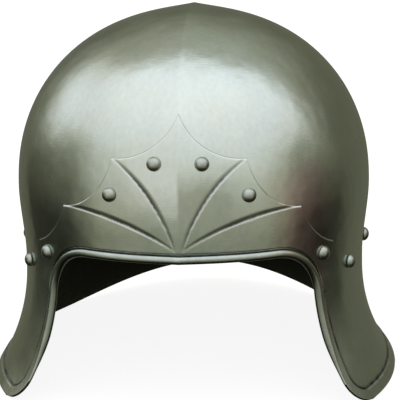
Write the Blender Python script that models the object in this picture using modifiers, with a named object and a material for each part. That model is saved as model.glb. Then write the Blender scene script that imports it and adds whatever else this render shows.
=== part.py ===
"""Open-faced archer's sallet: a keeled steel skull with a riveted, fluted brow plate, a leather lining
and a buckled chin strap.

The helmet is described in its own level frame, as it sits on a head: X to the wearer's left, Y to the
back, Z up, with Z = 0 at its widest level. Places on the skull are given as (angle, down): the angle
round from the front centre, positive towards +X, and the distance down the wall from the widest level,
negative above it. Multiplied by CHART_RADIUS the angle is a distance too, so (round, down) is the flat
pattern on which the outlines are drawn. Last, the whole helmet is tipped back until its lower rim lies
on the ground at Z = 0.
"""

from math import acos, atan, cos, exp, pi, radians, sin, sqrt, tan

import bmesh
import bpy
from mathutils import Matrix, Vector

# Skull, in metres.
SKULL_HALF_WIDTH = 0.1065
FRONT_REACH = 0.116
BACK_REACH = 0.130
CROWN_HEIGHT = 0.103
CROWN_ARC = CROWN_HEIGHT * pi / 2
DOME_FULLNESS = 0.94
KEEL_HEIGHT = 0.0026
KEEL_SPREAD = 0.013
SIDE_WAIST = 0.0038
NAPE_WAIST = 0.009
WAIST_DROP = 0.045
SIDE_FLARE = 0.019
SIDE_FLARE_RISE = 0.066
NAPE_FLARE = 0.026
NAPE_FLARE_RISE = 0.050
TAIL_REACH = 0.007
TAIL_HALF_WIDTH = 0.055
STEEL = 0.0016
CHART_RADIUS = 0.105

# Edge of the skull, on the flat pattern.
BROW_DROP = 0.027
CHEEK_DROP = 0.122
BROW_CORNER = (0.0845, BROW_DROP)
BROW_CORNER_RADIUS = 0.032
CHEEK_CORNER = (0.0995, CHEEK_DROP)
CHEEK_CORNER_RADIUS = 0.018
RIM_SLOPE = 0.116
RIM_START_Y = -0.054
TAIL_EXTRA = 0.015
NAPE_ARCH = 0.014
NAPE_ARCH_FROM = radians(130)
BORDER_WIDTH = 0.005
BORDER_STEP = 0.0008
BORDER_RAISE = 0.0008
MARGIN = 0.010
CROWN_BASE = -0.060
CROWN_BIAS = 0.60
RELAX_ROUNDS = 30

# Rolled edge of the face opening.
ROLL_RADIUS = 0.0025
ROLL_LIFT = 0.0004
ROLL_END_RADIUS = 0.0009
ROLL_STRAIGHT_RUN = 0.026
ROLL_TAPER_RUN = 0.030

# Brow plate, on the flat pattern. Each scallop is an arc between two cusps, with this much sag.
PLATE_THICKNESS = 0.0012
PLATE_CUSPS = [(0.0, -0.0520), (0.0392, -0.0272), (0.0715, 0.0010), (0.0995, 0.0250)]
SCALLOP_SAGS = [0.0074, 0.0080, 0.0045]
PLATE_ROLL_GAP = 0.0036
PLATE_FOOT = (0.0955, 0.0550)
FLUTE_ROOT = (0.0020, 0.0215)
FLUTE_SAGS = [0.0042, 0.0036]
FLUTE_RADIUS = 0.0029
FLUTE_DEPTH = 0.0008
FLUTE_RUNOUT = 0.0004

# Rivets: (angle in degrees, down) on the +X side, each with a twin on the -X side.
RIVET_HEAD_RADIUS = 0.0042
RIVET_HEAD_HEIGHT = 0.0034
RIVET_SHANK_RADIUS = 0.0018
RIVET_TAIL_RADIUS = 0.0030
RIVET_TAIL_HEIGHT = 0.0011
RIVET_HOLE_RADIUS = 0.0022
WASHER_RADIUS = 0.0050
WASHER_THICKNESS = 0.0010
BROW_RIVETS = {"brow_rivet_inner": (7.2, -0.0247), "brow_rivet_outer": (21.3, -0.0075)}
TEMPLE_RIVET = (49.5, 0.0310)
LINING_RIVETS = {
    "lining_rivet_side": (92, 0.036),
    "lining_rivet_rear": (128, 0.034),
    "lining_rivet_nape": (162, 0.033),
}
STRAP_RIVET = (67, 0.0425)

# Leather lining.
GAP = 0.0003
TAIL_GAP = 0.0006
HEAD_GAP = 0.0005
BAND_GAP = 0.0007
LEATHER = 0.0020
BAND_HALF_WIDTH = 0.012
BAND_BROW_DOWN = -0.009
BAND_SIDE_DOWN = 0.034
BAND_BROW_ANGLE = radians(28)
BAND_SIDE_ANGLE = radians(58)
TONGUE_COUNT = 8
TONGUE_THICKNESS = 0.0018
TONGUE_LAP = 0.003
TONGUE_BASE_HALF_ANGLE = radians(17.5)
TONGUE_TIP_HALF_ANGLE = radians(19.5)
TONGUE_TIP_DOWN = -0.122
TONGUE_AIR = 0.011
LACE_RADIUS = 0.0011
LACE_SWING = 0.0045
LACE_HOLE_RADIUS = 0.0043
LACE_INSET = 0.008

# Chin strap, in two halves that pivot on the strap rivets and lie back along the lining band.
STRAP_HALF_WIDTH = 0.008
STRAP_CLEARANCE = 0.0008
STRAP_EASE = 0.0034
STRAP_EASE_ANGLE = radians(14)
STRAP_LONG_SPAN = radians(86)
STRAP_SHORT_SPAN = radians(40)
STRAP_NOSE_ANGLE = radians(4.5)
STRAP_HOLES = 5
STRAP_HOLE_RADIUS = 0.0014
STRAP_HOLE_STEP = radians(7)
STRAP_FOLD = 0.021
STRAP_RADIUS = 0.110
PRONG_SLOT = (0.0130, 0.0036, 0.0120)
PRONG_SLOT_SHIFT = 0.0030
FOLD_RIVET_INSET = 0.016
BUCKLE_WIRE = 0.0013
BUCKLE_LENGTH = 0.019
BUCKLE_HALF_WIDTH = 0.0118
BUCKLE_CORNER = 0.004
PRONG_RADIUS = 0.0010
KEEPER_THICKNESS = 0.0013
KEEPER_WIDTH = 0.007

COLOURS = {
    "polished_steel": ((0.46, 0.48, 0.45), 0.30, 1.0),
    "rivet_steel": ((0.60, 0.61, 0.58), 0.28, 1.0),
    "lining_leather": ((0.23, 0.13, 0.07), 0.70, 0.0),
    "strap_leather": ((0.14, 0.08, 0.045), 0.60, 0.0),
    "lace_cord": ((0.42, 0.33, 0.22), 0.85, 0.0),
}


def clamp(value):
    return max(0.0, min(1.0, value))


def smooth(value):
    value = clamp(value)
    return value * value * (3 - 2 * value)


def mix(first, second, share):
    return first + (second - first) * share


# ---------------------------------------------------------------- the skull's surface


def rim_down(angle):
    """How far down the rim is: lowest at the cheeks, rising along a plane, then arched at the nape."""
    angle = abs(angle)
    reach = FRONT_REACH if cos(angle) > 0 else BACK_REACH + TAIL_EXTRA
    plane = CHEEK_DROP - RIM_SLOPE * (-reach * cos(angle) - RIM_START_Y)
    arch = NAPE_ARCH * smooth((angle - NAPE_ARCH_FROM) / (pi - NAPE_ARCH_FROM))
    return min(CHEEK_DROP, plane) - arch


def wall(angle, down, keel=KEEL_HEIGHT):
    """The point on the skull's outer surface, in the level frame."""
    reach = FRONT_REACH if cos(angle) > 0 else BACK_REACH
    polar = pi / 2 * (1 + min(down, 0) / CROWN_ARC)
    spread = max(sin(polar), 0) ** DOME_FULLNESS
    x = SKULL_HALF_WIDTH * spread * sin(angle)
    y = -reach * spread * cos(angle)
    z = CROWN_HEIGHT * max(cos(polar), 0) ** DOME_FULLNESS - max(down, 0)

    backness = smooth((0.2 - cos(angle)) / 1.2)
    waist = mix(SIDE_WAIST, NAPE_WAIST, backness) * smooth(down / WAIST_DROP)
    rise = mix(SIDE_FLARE_RISE, NAPE_FLARE_RISE, backness)
    flare = mix(SIDE_FLARE, NAPE_FLARE, backness)
    if cos(angle) < 0:
        flare += TAIL_REACH * exp(-((x / TAIL_HALF_WIDTH) ** 2))
    opened = clamp((down - rim_down(angle) + rise) / rise)
    outward = Vector((x / SKULL_HALF_WIDTH**2, y / reach**2, 0))
    if outward.length > 0:
        outward.normalize()
    point = Vector((x, y, z)) + outward * (flare * opened**2 - waist)

    normal = Vector((x / SKULL_HALF_WIDTH**2, y / reach**2, max(z, 0) / CROWN_HEIGHT**2)).normalized()
    return point + normal * keel * exp(-abs(x) / KEEL_SPREAD)


def wall_normal(angle, down, keel=KEEL_HEIGHT):
    """The outward normal of the skull there."""
    if down < -0.995 * CROWN_ARC:
        return Vector((0, 0, 1))
    step = 1e-3
    round_step = wall(angle + step, down, keel) - wall(angle - step, down, keel)
    lower, upper = (wall(angle, down + turn * step * CHART_RADIUS, keel) for turn in (1, -1))
    down_step = lower - upper
    return down_step.cross(round_step).normalized()


def on_wall(angle, down, lift=0.0, keel=KEEL_HEIGHT):
    """The point at that height above the skull's outer surface; a negative lift is inside it."""
    return wall(angle, down, keel) + wall_normal(angle, down, keel) * lift


def frame_on_wall(angle, down, lift=0.0):
    """A matrix whose origin is there, with Z along the outward normal and Y down the wall."""
    normal = wall_normal(angle, down)
    along = (wall(angle, down + 1e-4) - wall(angle, down)).normalized()
    across = along.cross(normal).normalized()
    along = normal.cross(across)
    place = Matrix((across, along, normal)).transposed().to_4x4()
    place.translation = on_wall(angle, down, lift)
    return place


# ---------------------------------------------------------------- outlines on the flat pattern


def corner_arc(before, corner, after, radius, steps):
    """Points of the arc that rounds a corner, from one leg's tangent point to the other's."""
    corner = Vector(corner)
    into, out = (corner - Vector(before)).normalized(), (Vector(after) - corner).normalized()
    turn = acos(into.dot(out))
    start = corner - into * radius * tan(turn / 2)
    side = 1 if into.x * out.y - into.y * out.x > 0 else -1
    normal = Vector((-into.y, into.x)) * side
    centre = start + normal * radius
    angles = (turn * i / steps for i in range(steps + 1))
    return [centre - normal * radius * cos(a) + into * radius * sin(a) for a in angles]


def sagging_arc(start, end, sag, steps):
    """Points of an arc between two points that sags below their chord, where down is positive."""
    start, end = Vector(start), Vector(end)
    chord = end - start
    side = Vector((-chord.y, chord.x)).normalized()
    half = chord.length / 2
    radius = (half * half + sag * sag) / (2 * sag)
    half_turn = acos((radius - sag) / radius)
    centre = (start + end) / 2 - side * (radius - sag)
    points = []
    for i in range(steps + 1):
        a = mix(-half_turn, half_turn, i / steps)
        points.append(centre + side * radius * cos(a) + chord.normalized() * radius * sin(a))
    return points


class Edge:
    """The skull's edge over one half, from the brow's centre round the cheek to the nape's centre."""

    def __init__(self, steps=24):
        brow = Vector((0, BROW_DROP))
        arc = corner_arc(brow, BROW_CORNER, CHEEK_CORNER, BROW_CORNER_RADIUS, steps)
        beyond = (CHEEK_CORNER[0] + 1, CHEEK_DROP)
        cheek = corner_arc(BROW_CORNER, CHEEK_CORNER, beyond, CHEEK_CORNER_RADIUS, steps)
        start, end = cheek[-1].x, pi * CHART_RADIUS
        rim = [mix(start, end, i / (4 * steps)) for i in range(1, 4 * steps + 1)]
        self.points = [brow] + arc + cheek + [Vector((x, rim_down(x / CHART_RADIUS))) for x in rim]
        self.lengths = [0.0]
        for a, b in zip(self.points, self.points[1:]):
            self.lengths.append(self.lengths[-1] + (b - a).length)
        self.corner_end = self.lengths[len(arc)]

    def at(self, distance):
        """(the point, the inward normal) at a distance along the edge."""
        distance = min(max(distance, 0), self.lengths[-1])
        i = next(i for i in range(1, len(self.lengths)) if self.lengths[i] >= distance - 1e-12)
        a, b = self.points[i - 1], self.points[i]
        point = a.lerp(b, (distance - self.lengths[i - 1]) / (b - a).length)
        spread = 0.004
        tangent = self.near(distance + spread) - self.near(distance - spread)
        if distance < spread or distance > self.lengths[-1] - spread:
            tangent = Vector((1, 0))
        return point, Vector((tangent.y, -tangent.x)).normalized()

    def near(self, distance):
        distance = min(max(distance, 0), self.lengths[-1])
        i = next(i for i in range(1, len(self.lengths)) if self.lengths[i] >= distance - 1e-12)
        a, b = self.points[i - 1], self.points[i]
        return a.lerp(b, (distance - self.lengths[i - 1]) / (b - a).length)


EDGE = Edge()
EDGE_LENGTH = EDGE.lengths[-1]


def border_lift(along, inside):
    """How far the turned border stands out. It fades away where the roll takes over."""
    share = smooth((along - EDGE.corner_end) / ROLL_STRAIGHT_RUN)
    return BORDER_RAISE * share * (1 - smooth((inside - BORDER_WIDTH) / BORDER_STEP))


def skull_chart(columns, crown_rows, side_rows, margins):
    """Rows of (round, down, lift) over the half skull, from the crown to the edge.

    The crown's rows are level and the last ones follow the edge. Those between are relaxed until each
    point is midway between its neighbours.
    """
    shares = [i / columns for i in range(columns + 1)]
    starts = [pi * CHART_RADIUS * (share + CROWN_BIAS * share * (1 - share)) for share in shares]
    downs = [mix(-CROWN_ARC, CROWN_BASE, row / crown_rows) for row in range(crown_rows + 1)]
    crown = [[Vector((x, down)) for x in starts] for down in downs]
    border = []
    for inside in margins:
        ends = (EDGE.at(EDGE_LENGTH * i / columns) for i in range(columns + 1))
        border.append([point + inward * inside for point, inward in ends])
    side = [
        [a.lerp(b, row / side_rows) for a, b in zip(crown[-1], border[0])]
        for row in range(side_rows + 1)
    ]
    for _ in range(RELAX_ROUNDS):
        relax(side)
    chart = [[(p.x, p.y, 0.0) for p in row] for row in crown + side[1:-1]]
    for inside, row in zip(margins, border):
        lifts = [border_lift(EDGE_LENGTH * i / columns, inside) for i in range(columns + 1)]
        chart.append([(p.x, p.y, lift) for p, lift in zip(row, lifts)])
    return chart


def relax(rows):
    """Moves each inner point midway between its neighbours, and those at both ends only up or down."""
    for above, row, below in zip(rows, rows[1:], rows[2:]):
        for i in range(1, len(row) - 1):
            row[i] = (row[i - 1] + row[i + 1] + above[i] + below[i]) / 4
        for i in (0, -1):
            row[i].y = (above[i].y + below[i].y) / 2


# ---------------------------------------------------------------- modelling helpers


def clear_scene():
    for obj in list(bpy.data.objects):
        bpy.data.objects.remove(obj)
    for collection in list(bpy.data.collections):
        bpy.data.collections.remove(collection)


def material(name):
    found = bpy.data.materials.get(name)
    if found:
        return found
    colour, roughness, metallic = COLOURS[name]
    made = bpy.data.materials.new(name)
    made.use_nodes = True
    shader = made.node_tree.nodes["Principled BSDF"]
    shader.inputs["Base Color"].default_value = (*colour, 1)
    shader.inputs["Roughness"].default_value = roughness
    shader.inputs["Metallic"].default_value = metallic
    return made


def place_object(name, data, finish, cutter=False):
    obj = bpy.data.objects.new(name, data)
    (CUTTERS if cutter else PARTS).objects.link(obj)
    obj.parent = HELMET
    if cutter:
        obj.hide_render = True
        obj.display_type = "WIRE"
    else:
        data.materials.append(material(finish))
    return obj


def grid_mesh(name, columns, rows, place):
    """A grid bent so that the vertex at (column, row) goes where place(column, row) says."""
    grid = bmesh.new()
    bmesh.ops.create_grid(grid, x_segments=columns, y_segments=rows, size=0.5)
    for vertex in grid.verts:
        column = round((vertex.co.x + 0.5) * columns)
        row = round((0.5 - vertex.co.y) * rows)
        vertex.co = place(column, row)
    bmesh.ops.remove_doubles(grid, verts=grid.verts, dist=2e-6)
    mesh = bpy.data.meshes.new(name)
    grid.to_mesh(mesh)
    grid.free()
    mesh.shade_smooth()
    return mesh


def solidify(obj, thickness, offset=-1):
    modifier = obj.modifiers.new("thickness", "SOLIDIFY")
    modifier.thickness = thickness
    modifier.offset = offset
    modifier.use_even_offset = True


def mirror(obj):
    modifier = obj.modifiers.new("other_side", "MIRROR")
    modifier.use_clip = True
    modifier.merge_threshold = 1e-5


def boolean(obj, other, operation="DIFFERENCE"):
    modifier = obj.modifiers.new(other.name, "BOOLEAN")
    modifier.operation = operation
    modifier.object = other


def tube(name, points, radius, widths=None, cyclic=False, resolution=2, finish="rivet_steel", cutter=False):
    """A round bar through the points; widths scales its radius at each one."""
    curve = bpy.data.curves.new(name, "CURVE")
    curve.dimensions = "3D"
    curve.bevel_depth = radius
    curve.bevel_resolution = resolution
    curve.use_fill_caps = not cyclic
    spline = curve.splines.new("POLY")
    spline.points.add(len(points) - 1)
    spline.use_cyclic_u = cyclic
    for i, point in enumerate(points):
        spline.points[i].co = (*point, 1)
        spline.points[i].radius = widths[i] if widths else 1.0
    return place_object(name, curve, finish, cutter)


def as_mesh(obj):
    """The same object with its curve and modifiers made into one welded mesh."""
    bpy.context.view_layer.update()
    made = bpy.data.meshes.new_from_object(obj.evaluated_get(bpy.context.evaluated_depsgraph_get()))
    name, cutter, world = obj.name, obj.hide_render, obj.matrix_world.copy()
    bpy.data.objects.remove(obj)
    mesh = bmesh.new()
    mesh.from_mesh(made)
    bmesh.ops.remove_doubles(mesh, verts=mesh.verts, dist=1e-6)
    bmesh.ops.recalc_face_normals(mesh, faces=mesh.faces)
    mesh.to_mesh(made)
    mesh.free()
    new = bpy.data.objects.new(name, made)
    (CUTTERS if cutter else PARTS).objects.link(new)
    new.parent = HELMET
    new.matrix_world = world
    new.hide_render = cutter
    if cutter:
        new.display_type = "WIRE"
    return new


def turned(name, profile, place, finish, steps=16, cutter=False):
    """A profile of (radius, height) points, from top to bottom, turned about the Z axis of place."""
    mesh = bpy.data.meshes.new(name)
    mesh.from_pydata([(r, 0, h) for r, h in profile], [(i, i + 1) for i in range(len(profile) - 1)], [])
    obj = place_object(name, mesh, finish, cutter)
    modifier = obj.modifiers.new("turn", "SCREW")
    modifier.steps = modifier.render_steps = steps
    modifier.use_merge_vertices = True
    modifier.merge_threshold = 1e-6
    modifier.use_smooth_shade = True
    obj.matrix_local = place
    return obj


def drill(name, place, radius, depth, steps=12):
    """A cylinder to cut a hole with, centred on place along its Z axis."""
    profile = [(0, depth / 2), (radius, depth / 2), (radius, -depth / 2), (0, -depth / 2)]
    return as_mesh(turned(name, profile, place, None, steps, cutter=True))


def sides(name, place):
    """(name, angle, down) for a feature and its twin on the other side. The wearer's left is +X."""
    angle, down = radians(place[0]), place[1]
    return [(name + "_left", angle, down), (name + "_right", -angle, down)]


# ---------------------------------------------------------------- steel parts


def make_skull():
    columns = 44
    margins = [MARGIN, BORDER_WIDTH + BORDER_STEP, BORDER_WIDTH, BORDER_WIDTH * 0.4, 0.0]
    chart = skull_chart(columns, 6, 12, margins)

    def place(column, row):
        x, down, lift = chart[row][column]
        point = on_wall(x / CHART_RADIUS, down, lift)
        if column in (0, columns) or row == 0:
            point.x = 0
        return point

    skull = place_object("skull", grid_mesh("skull", columns, len(chart) - 1, place), "polished_steel")
    mirror(skull)
    solidify(skull, STEEL)
    boolean(skull, make_roll(), "UNION")
    return skull


def make_roll():
    """The edge of the face opening, rolled outwards; it thins out part of the way down each cheek."""
    end = EDGE.corner_end + ROLL_STRAIGHT_RUN + ROLL_TAPER_RUN
    steps = 40
    points, widths = [], []
    for i in range(-steps, steps + 1):
        along = abs(i) / steps * end
        edge = EDGE.at(along)[0]
        point = on_wall(edge.x / CHART_RADIUS, edge.y, ROLL_LIFT)
        points.append((point.x if i >= 0 else -point.x, point.y, point.z))
        taper = smooth((along - end + ROLL_TAPER_RUN) / ROLL_TAPER_RUN)
        widths.append(mix(1, ROLL_END_RADIUS / ROLL_RADIUS, taper))
    return as_mesh(tube("roll", points, ROLL_RADIUS, widths, cutter=True))


def plate_top(x):
    """The brow plate's scalloped upper edge, as down for a distance round."""
    for (start, end), sag in zip(zip(PLATE_CUSPS, PLATE_CUSPS[1:]), SCALLOP_SAGS):
        if x <= end[0] + 1e-9:
            arc = sagging_arc(start, end, sag, 40)
            for a, b in zip(arc, arc[1:]):
                if x <= b.x + 1e-9:
                    return mix(a.y, b.y, clamp((x - a.x) / (b.x - a.x)))
    return PLATE_CUSPS[-1][1]


def plate_bottom(x):
    """The brow plate's lower edge: beside the roll, down to the foot, then up its end."""
    turn = Vector((BROW_CORNER[0] - CHEEK_CORNER[0], BROW_CORNER[1] - CHEEK_CORNER[1]))
    half_turn = acos(abs(turn.x) / turn.length) / 2
    centre_x = BROW_CORNER[0] - BROW_CORNER_RADIUS * tan(half_turn)
    radius = BROW_CORNER_RADIUS + PLATE_ROLL_GAP
    if x > PLATE_FOOT[0]:
        end = PLATE_CUSPS[-1]
        return mix(PLATE_FOOT[1], end[1], (x - PLATE_FOOT[0]) / (end[0] - PLATE_FOOT[0]))
    inside = x - centre_x
    if inside <= 0:
        return BROW_DROP - PLATE_ROLL_GAP
    if inside >= 0.985 * radius:
        return PLATE_FOOT[1]
    return min(PLATE_FOOT[1], BROW_DROP + BROW_CORNER_RADIUS - sqrt(radius * radius - inside * inside))


def plate_columns(per_scallop):
    """Distances round at which the plate's grid has a column, closer together near each cusp."""
    found = [0.0]
    for start, end in zip(PLATE_CUSPS, PLATE_CUSPS[1:]):
        for i in range(1, per_scallop + 1):
            found.append(mix(start[0], end[0], (1 - cos(pi * i / per_scallop)) / 2))
    return found


def make_brow_plate():
    rounds = plate_columns(8)
    rows = 7

    def place(column, row):
        x = rounds[column]
        down = mix(plate_top(x), plate_bottom(x), row / rows)
        point = on_wall(x / CHART_RADIUS, down, GAP + PLATE_THICKNESS)
        if column == 0:
            point.x = 0
        return point

    mesh = grid_mesh("brow_plate", len(rounds) - 1, rows, place)
    plate = place_object("brow_plate", mesh, "polished_steel")
    mirror(plate)
    solidify(plate, PLATE_THICKNESS)
    for i, (cusp, sag) in enumerate(zip(PLATE_CUSPS[1:3], FLUTE_SAGS)):
        for side in (1, -1):
            boolean(plate, make_flute(f"flute_{i}_{side}", cusp, sag, side))
    return plate


def make_flute(name, cusp, sag, side, steps=14):
    """A round cutter along one flute, from its root to a cusp, that rises out of the plate at both ends."""
    points = []
    for i, point in enumerate(bowed_arc(FLUTE_ROOT, cusp, sag, steps)):
        depth = mix(-FLUTE_RUNOUT, FLUTE_DEPTH, sqrt(sin(pi * i / steps)))
        place = on_wall(point.x / CHART_RADIUS, point.y, GAP + PLATE_THICKNESS + FLUTE_RADIUS - depth)
        points.append((place.x * side, place.y, place.z))
    return as_mesh(tube(name, points, FLUTE_RADIUS, resolution=3, cutter=True))


def bowed_arc(start, end, bow, steps):
    """Points of an arc between two points that bows upwards from their chord."""
    return list(reversed(sagging_arc(end, start, bow, steps)))


def rivet(name, angle, down, stand, grip):
    """A domed rivet. Stand is its seat's height above the skull, and grip the thickness that it clamps."""
    place = frame_on_wall(angle, down, stand)
    angles = (pi / 2 * i / 5 for i in range(5))
    dome = [(RIVET_HEAD_RADIUS * sin(a), RIVET_HEAD_HEIGHT * cos(a)) for a in angles]
    seat = [(RIVET_HEAD_RADIUS, 0.0003), (RIVET_HEAD_RADIUS * 0.97, 0.0)]
    shank, tail, end = RIVET_SHANK_RADIUS, RIVET_TAIL_RADIUS, -grip - RIVET_TAIL_HEIGHT
    neck = [(shank, 0.0), (shank, -grip)]
    peened = [(tail, -grip), (tail * 0.8, -grip - RIVET_TAIL_HEIGHT * 0.7), (0, end)]
    return turned(name, dome + seat + neck + peened, place, "rivet_steel", steps=12)


def washer(name, angle, down, lift):
    """A round washer on the inside, whose outer face is at that lift."""
    place = frame_on_wall(angle, down, lift)
    inner, outer, depth = RIVET_SHANK_RADIUS + GAP, WASHER_RADIUS, WASHER_THICKNESS
    profile = [(inner, 0), (outer, 0), (outer, -depth), (inner, -depth), (inner, 0)]
    return turned(name, profile, place, "rivet_steel", steps=12)


# ---------------------------------------------------------------- lining


def band_down(angle):
    """The middle of the lining band: level round the back and sides, and higher over the brow."""
    share = smooth((abs(angle) - BAND_BROW_ANGLE) / (BAND_SIDE_ANGLE - BAND_BROW_ANGLE))
    return mix(BAND_BROW_DOWN, BAND_SIDE_DOWN, share)


def make_lining_band():
    columns, rows = 96, 3
    lift = -(STEEL + BAND_GAP)

    def place(column, row):
        angle = 2 * pi * (column % columns) / columns
        angle = angle if angle <= pi else angle - 2 * pi
        return on_wall(angle, band_down(angle) + mix(-BAND_HALF_WIDTH, BAND_HALF_WIDTH, row / rows), lift)

    band = place_object("lining_band", grid_mesh("lining_band", columns, rows, place), "lining_leather")
    solidify(band, LEATHER)
    return band


def tongue_place(angle, share):
    """(down, lift) along a tongue: share 0 is where it is sewn to the band and 1 is its tip."""
    foot = band_down(angle) - BAND_HALF_WIDTH + TONGUE_LAP
    down = mix(foot, TONGUE_TIP_DOWN, share)
    air = TONGUE_AIR * smooth((share - 0.06) / 0.7)
    return down, -(STEEL + BAND_GAP + LEATHER + GAP + air)


def make_tongue(index):
    """One of the lining's tongues, sewn to the band and gathered near the crown."""
    columns, rows = 4, 9
    middle = 2 * pi * (index + 0.5) / TONGUE_COUNT
    middle = middle if middle <= pi else middle - 2 * pi

    def place(column, row):
        share = row / rows
        half = mix(TONGUE_BASE_HALF_ANGLE, TONGUE_TIP_HALF_ANGLE, share)
        angle = middle + mix(-half, half, column / columns)
        down, lift = tongue_place(middle, share)
        if share < 0.3:
            local = tongue_place(angle, share)[0]
            down = mix(local, down, share / 0.3)
        return on_wall(angle, down, lift, keel=0)

    name = f"lining_tongue_{index + 1}"
    tongue = place_object(name, grid_mesh(name, columns, rows, place), "lining_leather")
    for polygon in tongue.data.polygons:
        polygon.flip()
    solidify(tongue, TONGUE_THICKNESS)
    for side in (-1, 1):
        place = lace_hole(index, side)
        boolean(tongue, drill(f"lace_hole_{index}_{side}", place, LACE_HOLE_RADIUS, 0.008, 8))
    return tongue


def lace_hole(index, side):
    """Where the lace passes through a tongue, with Z along the lining's normal."""
    middle = 2 * pi * (index + 0.5) / TONGUE_COUNT
    angle = middle + side * pi / TONGUE_COUNT / 2
    down, lift = lace_line()
    return frame_on_wall(angle, down, lift - TONGUE_THICKNESS / 2)


def lace_line():
    down = TONGUE_TIP_DOWN + LACE_INSET
    return down, tongue_place(radians(100), 0.93)[1]


def make_lace():
    """A drawn lace that passes in and out of all the tongues, tied into a ring."""
    steps = 96
    down, lift = lace_line()
    points = []
    for i in range(steps):
        angle = 2 * pi * i / steps
        swing = LACE_SWING * -cos(TONGUE_COUNT * angle)
        points.append(on_wall(angle, down, lift - TONGUE_THICKNESS / 2 + swing, keel=0))
    return tube("lining_lace", points, LACE_RADIUS, cyclic=True, resolution=1, finish="lace_cord")


# ---------------------------------------------------------------- chin strap


def strap_lift(angle):
    """The lift of a strap's outer face: near the band at its rivet, then eased over the lining rivets."""
    away = abs(angle) - radians(STRAP_RIVET[0])
    ease = STRAP_EASE * smooth(away / STRAP_EASE_ANGLE)
    return -(STEEL + BAND_GAP + LEATHER + STRAP_CLEARANCE + ease)


def strap_frame(angle):
    """A strap's outer face at an angle: the point, then the ways along it, down across it and inwards."""
    turn = 1 if angle > 0 else -1
    lift = strap_lift(angle)
    point = on_wall(angle, STRAP_RIVET[1], lift)
    ahead = on_wall(angle + turn * 0.01, STRAP_RIVET[1], strap_lift(angle + turn * 0.01))
    inwards = -wall_normal(angle, STRAP_RIVET[1])
    along = (ahead - point).normalized()
    across = along.cross(inwards).normalized() * turn
    return point, along, across, across.cross(along).normalized() * turn


def strap_width(share_from_rivet, share_to_tip, pointed):
    """Half the strap's width, rounded in front of the rivet and, where asked, pointed at its tip."""
    width = STRAP_HALF_WIDTH * sqrt(clamp(1 - (1 - clamp(share_from_rivet)) ** 2))
    if pointed:
        width *= sqrt(clamp(share_to_tip))
    return max(width, 0.0012)


def make_long_strap():
    """The half with the buckle holes, on the wearer's right."""
    columns, rows = 34, 2
    start = radians(STRAP_RIVET[0]) - STRAP_NOSE_ANGLE
    end = radians(STRAP_RIVET[0]) + STRAP_LONG_SPAN

    def place(column, row):
        t = column / columns
        t = t if t > 0.12 else 0.12 * (t / 0.12) ** 1.6
        angle = mix(start, end, t)
        point, along, across, inwards = strap_frame(-angle)
        width = strap_width((angle - start) / STRAP_NOSE_ANGLE, (end - angle) / radians(9), True)
        return point + across * width * (row - 1)

    mesh = grid_mesh("chin_strap_right", columns, rows, place)
    strap = place_object("chin_strap_right", mesh, "strap_leather")
    solidify(strap, LEATHER)
    for i in range(STRAP_HOLES):
        angle = end - radians(12) - i * STRAP_HOLE_STEP
        place = frame_on_wall(-angle, STRAP_RIVET[1], strap_lift(angle))
        boolean(strap, drill(f"strap_hole_{i}", place, STRAP_HOLE_RADIUS, 0.012, 8))
    return strap


def buckle_frame_matrix():
    """The buckle's own frame: its bar on the Y axis, its length along X, and Z pointing into the helmet."""
    angle = radians(STRAP_RIVET[0]) + STRAP_SHORT_SPAN
    point, along, across, inwards = strap_frame(angle)
    bar = BUCKLE_WIRE + GAP + LEATHER
    place = Matrix((along, across, inwards)).transposed().to_4x4()
    place.translation = point + inwards * bar
    return place


def short_strap_line(start, end, flat_steps=16, loop_steps=8):
    """(point, way across, half width) along the short strap: flat, round the buckle's bar, and back."""
    bar = buckle_frame_matrix()
    radius = BUCKLE_WIRE + GAP + LEATHER
    line = []
    for i in range(flat_steps + 1):
        t = i / flat_steps
        angle = mix(start, end, t if t > 0.2 else 0.2 * (t / 0.2) ** 1.6)
        point, _, across, _ = strap_frame(angle)
        line.append((point, across, strap_width((angle - start) / STRAP_NOSE_ANGLE, 1, False)))
    across = bar.to_3x3().col[1].copy()
    for i in range(1, loop_steps + 1):
        a = pi * i / loop_steps
        line.append((bar @ Vector((radius * sin(a), 0, -radius * cos(a))), across, STRAP_HALF_WIDTH))
    layers = 2 * LEATHER + GAP
    for share in (0.25, 0.5, 0.75, 1.0):
        point, _, across, inwards = strap_frame(end - share * STRAP_FOLD / STRAP_RADIUS)
        height = mix(2 * radius, layers, smooth(share / 0.5))
        line.append((point + inwards * height, across, STRAP_HALF_WIDTH))
    return line


def make_short_strap():
    """The half with the buckle, on the wearer's left. Its end is folded round the bar and riveted."""
    start = radians(STRAP_RIVET[0]) - STRAP_NOSE_ANGLE
    line = short_strap_line(start, radians(STRAP_RIVET[0]) + STRAP_SHORT_SPAN)

    def place(column, row):
        point, across, width = line[column]
        return point + across * width * (1 - row)

    mesh = grid_mesh("chin_strap_left", len(line) - 1, 2, place)
    strap = place_object("chin_strap_left", mesh, "strap_leather")
    solidify(strap, LEATHER)
    boolean(strap, make_prong_slot())
    return strap


def make_prong_slot():
    """A block that cuts the fold open, so that the prong's ring can turn on the bar."""
    slot = bmesh.new()
    bmesh.ops.create_cube(slot, size=1)
    bmesh.ops.scale(slot, vec=PRONG_SLOT, verts=slot.verts)
    mesh = bpy.data.meshes.new("prong_slot")
    slot.to_mesh(mesh)
    slot.free()
    cutter = place_object("prong_slot", mesh, None, cutter=True)
    cutter.matrix_local = buckle_frame_matrix() @ Matrix.Translation((PRONG_SLOT_SHIFT, 0, 0))
    return cutter


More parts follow.
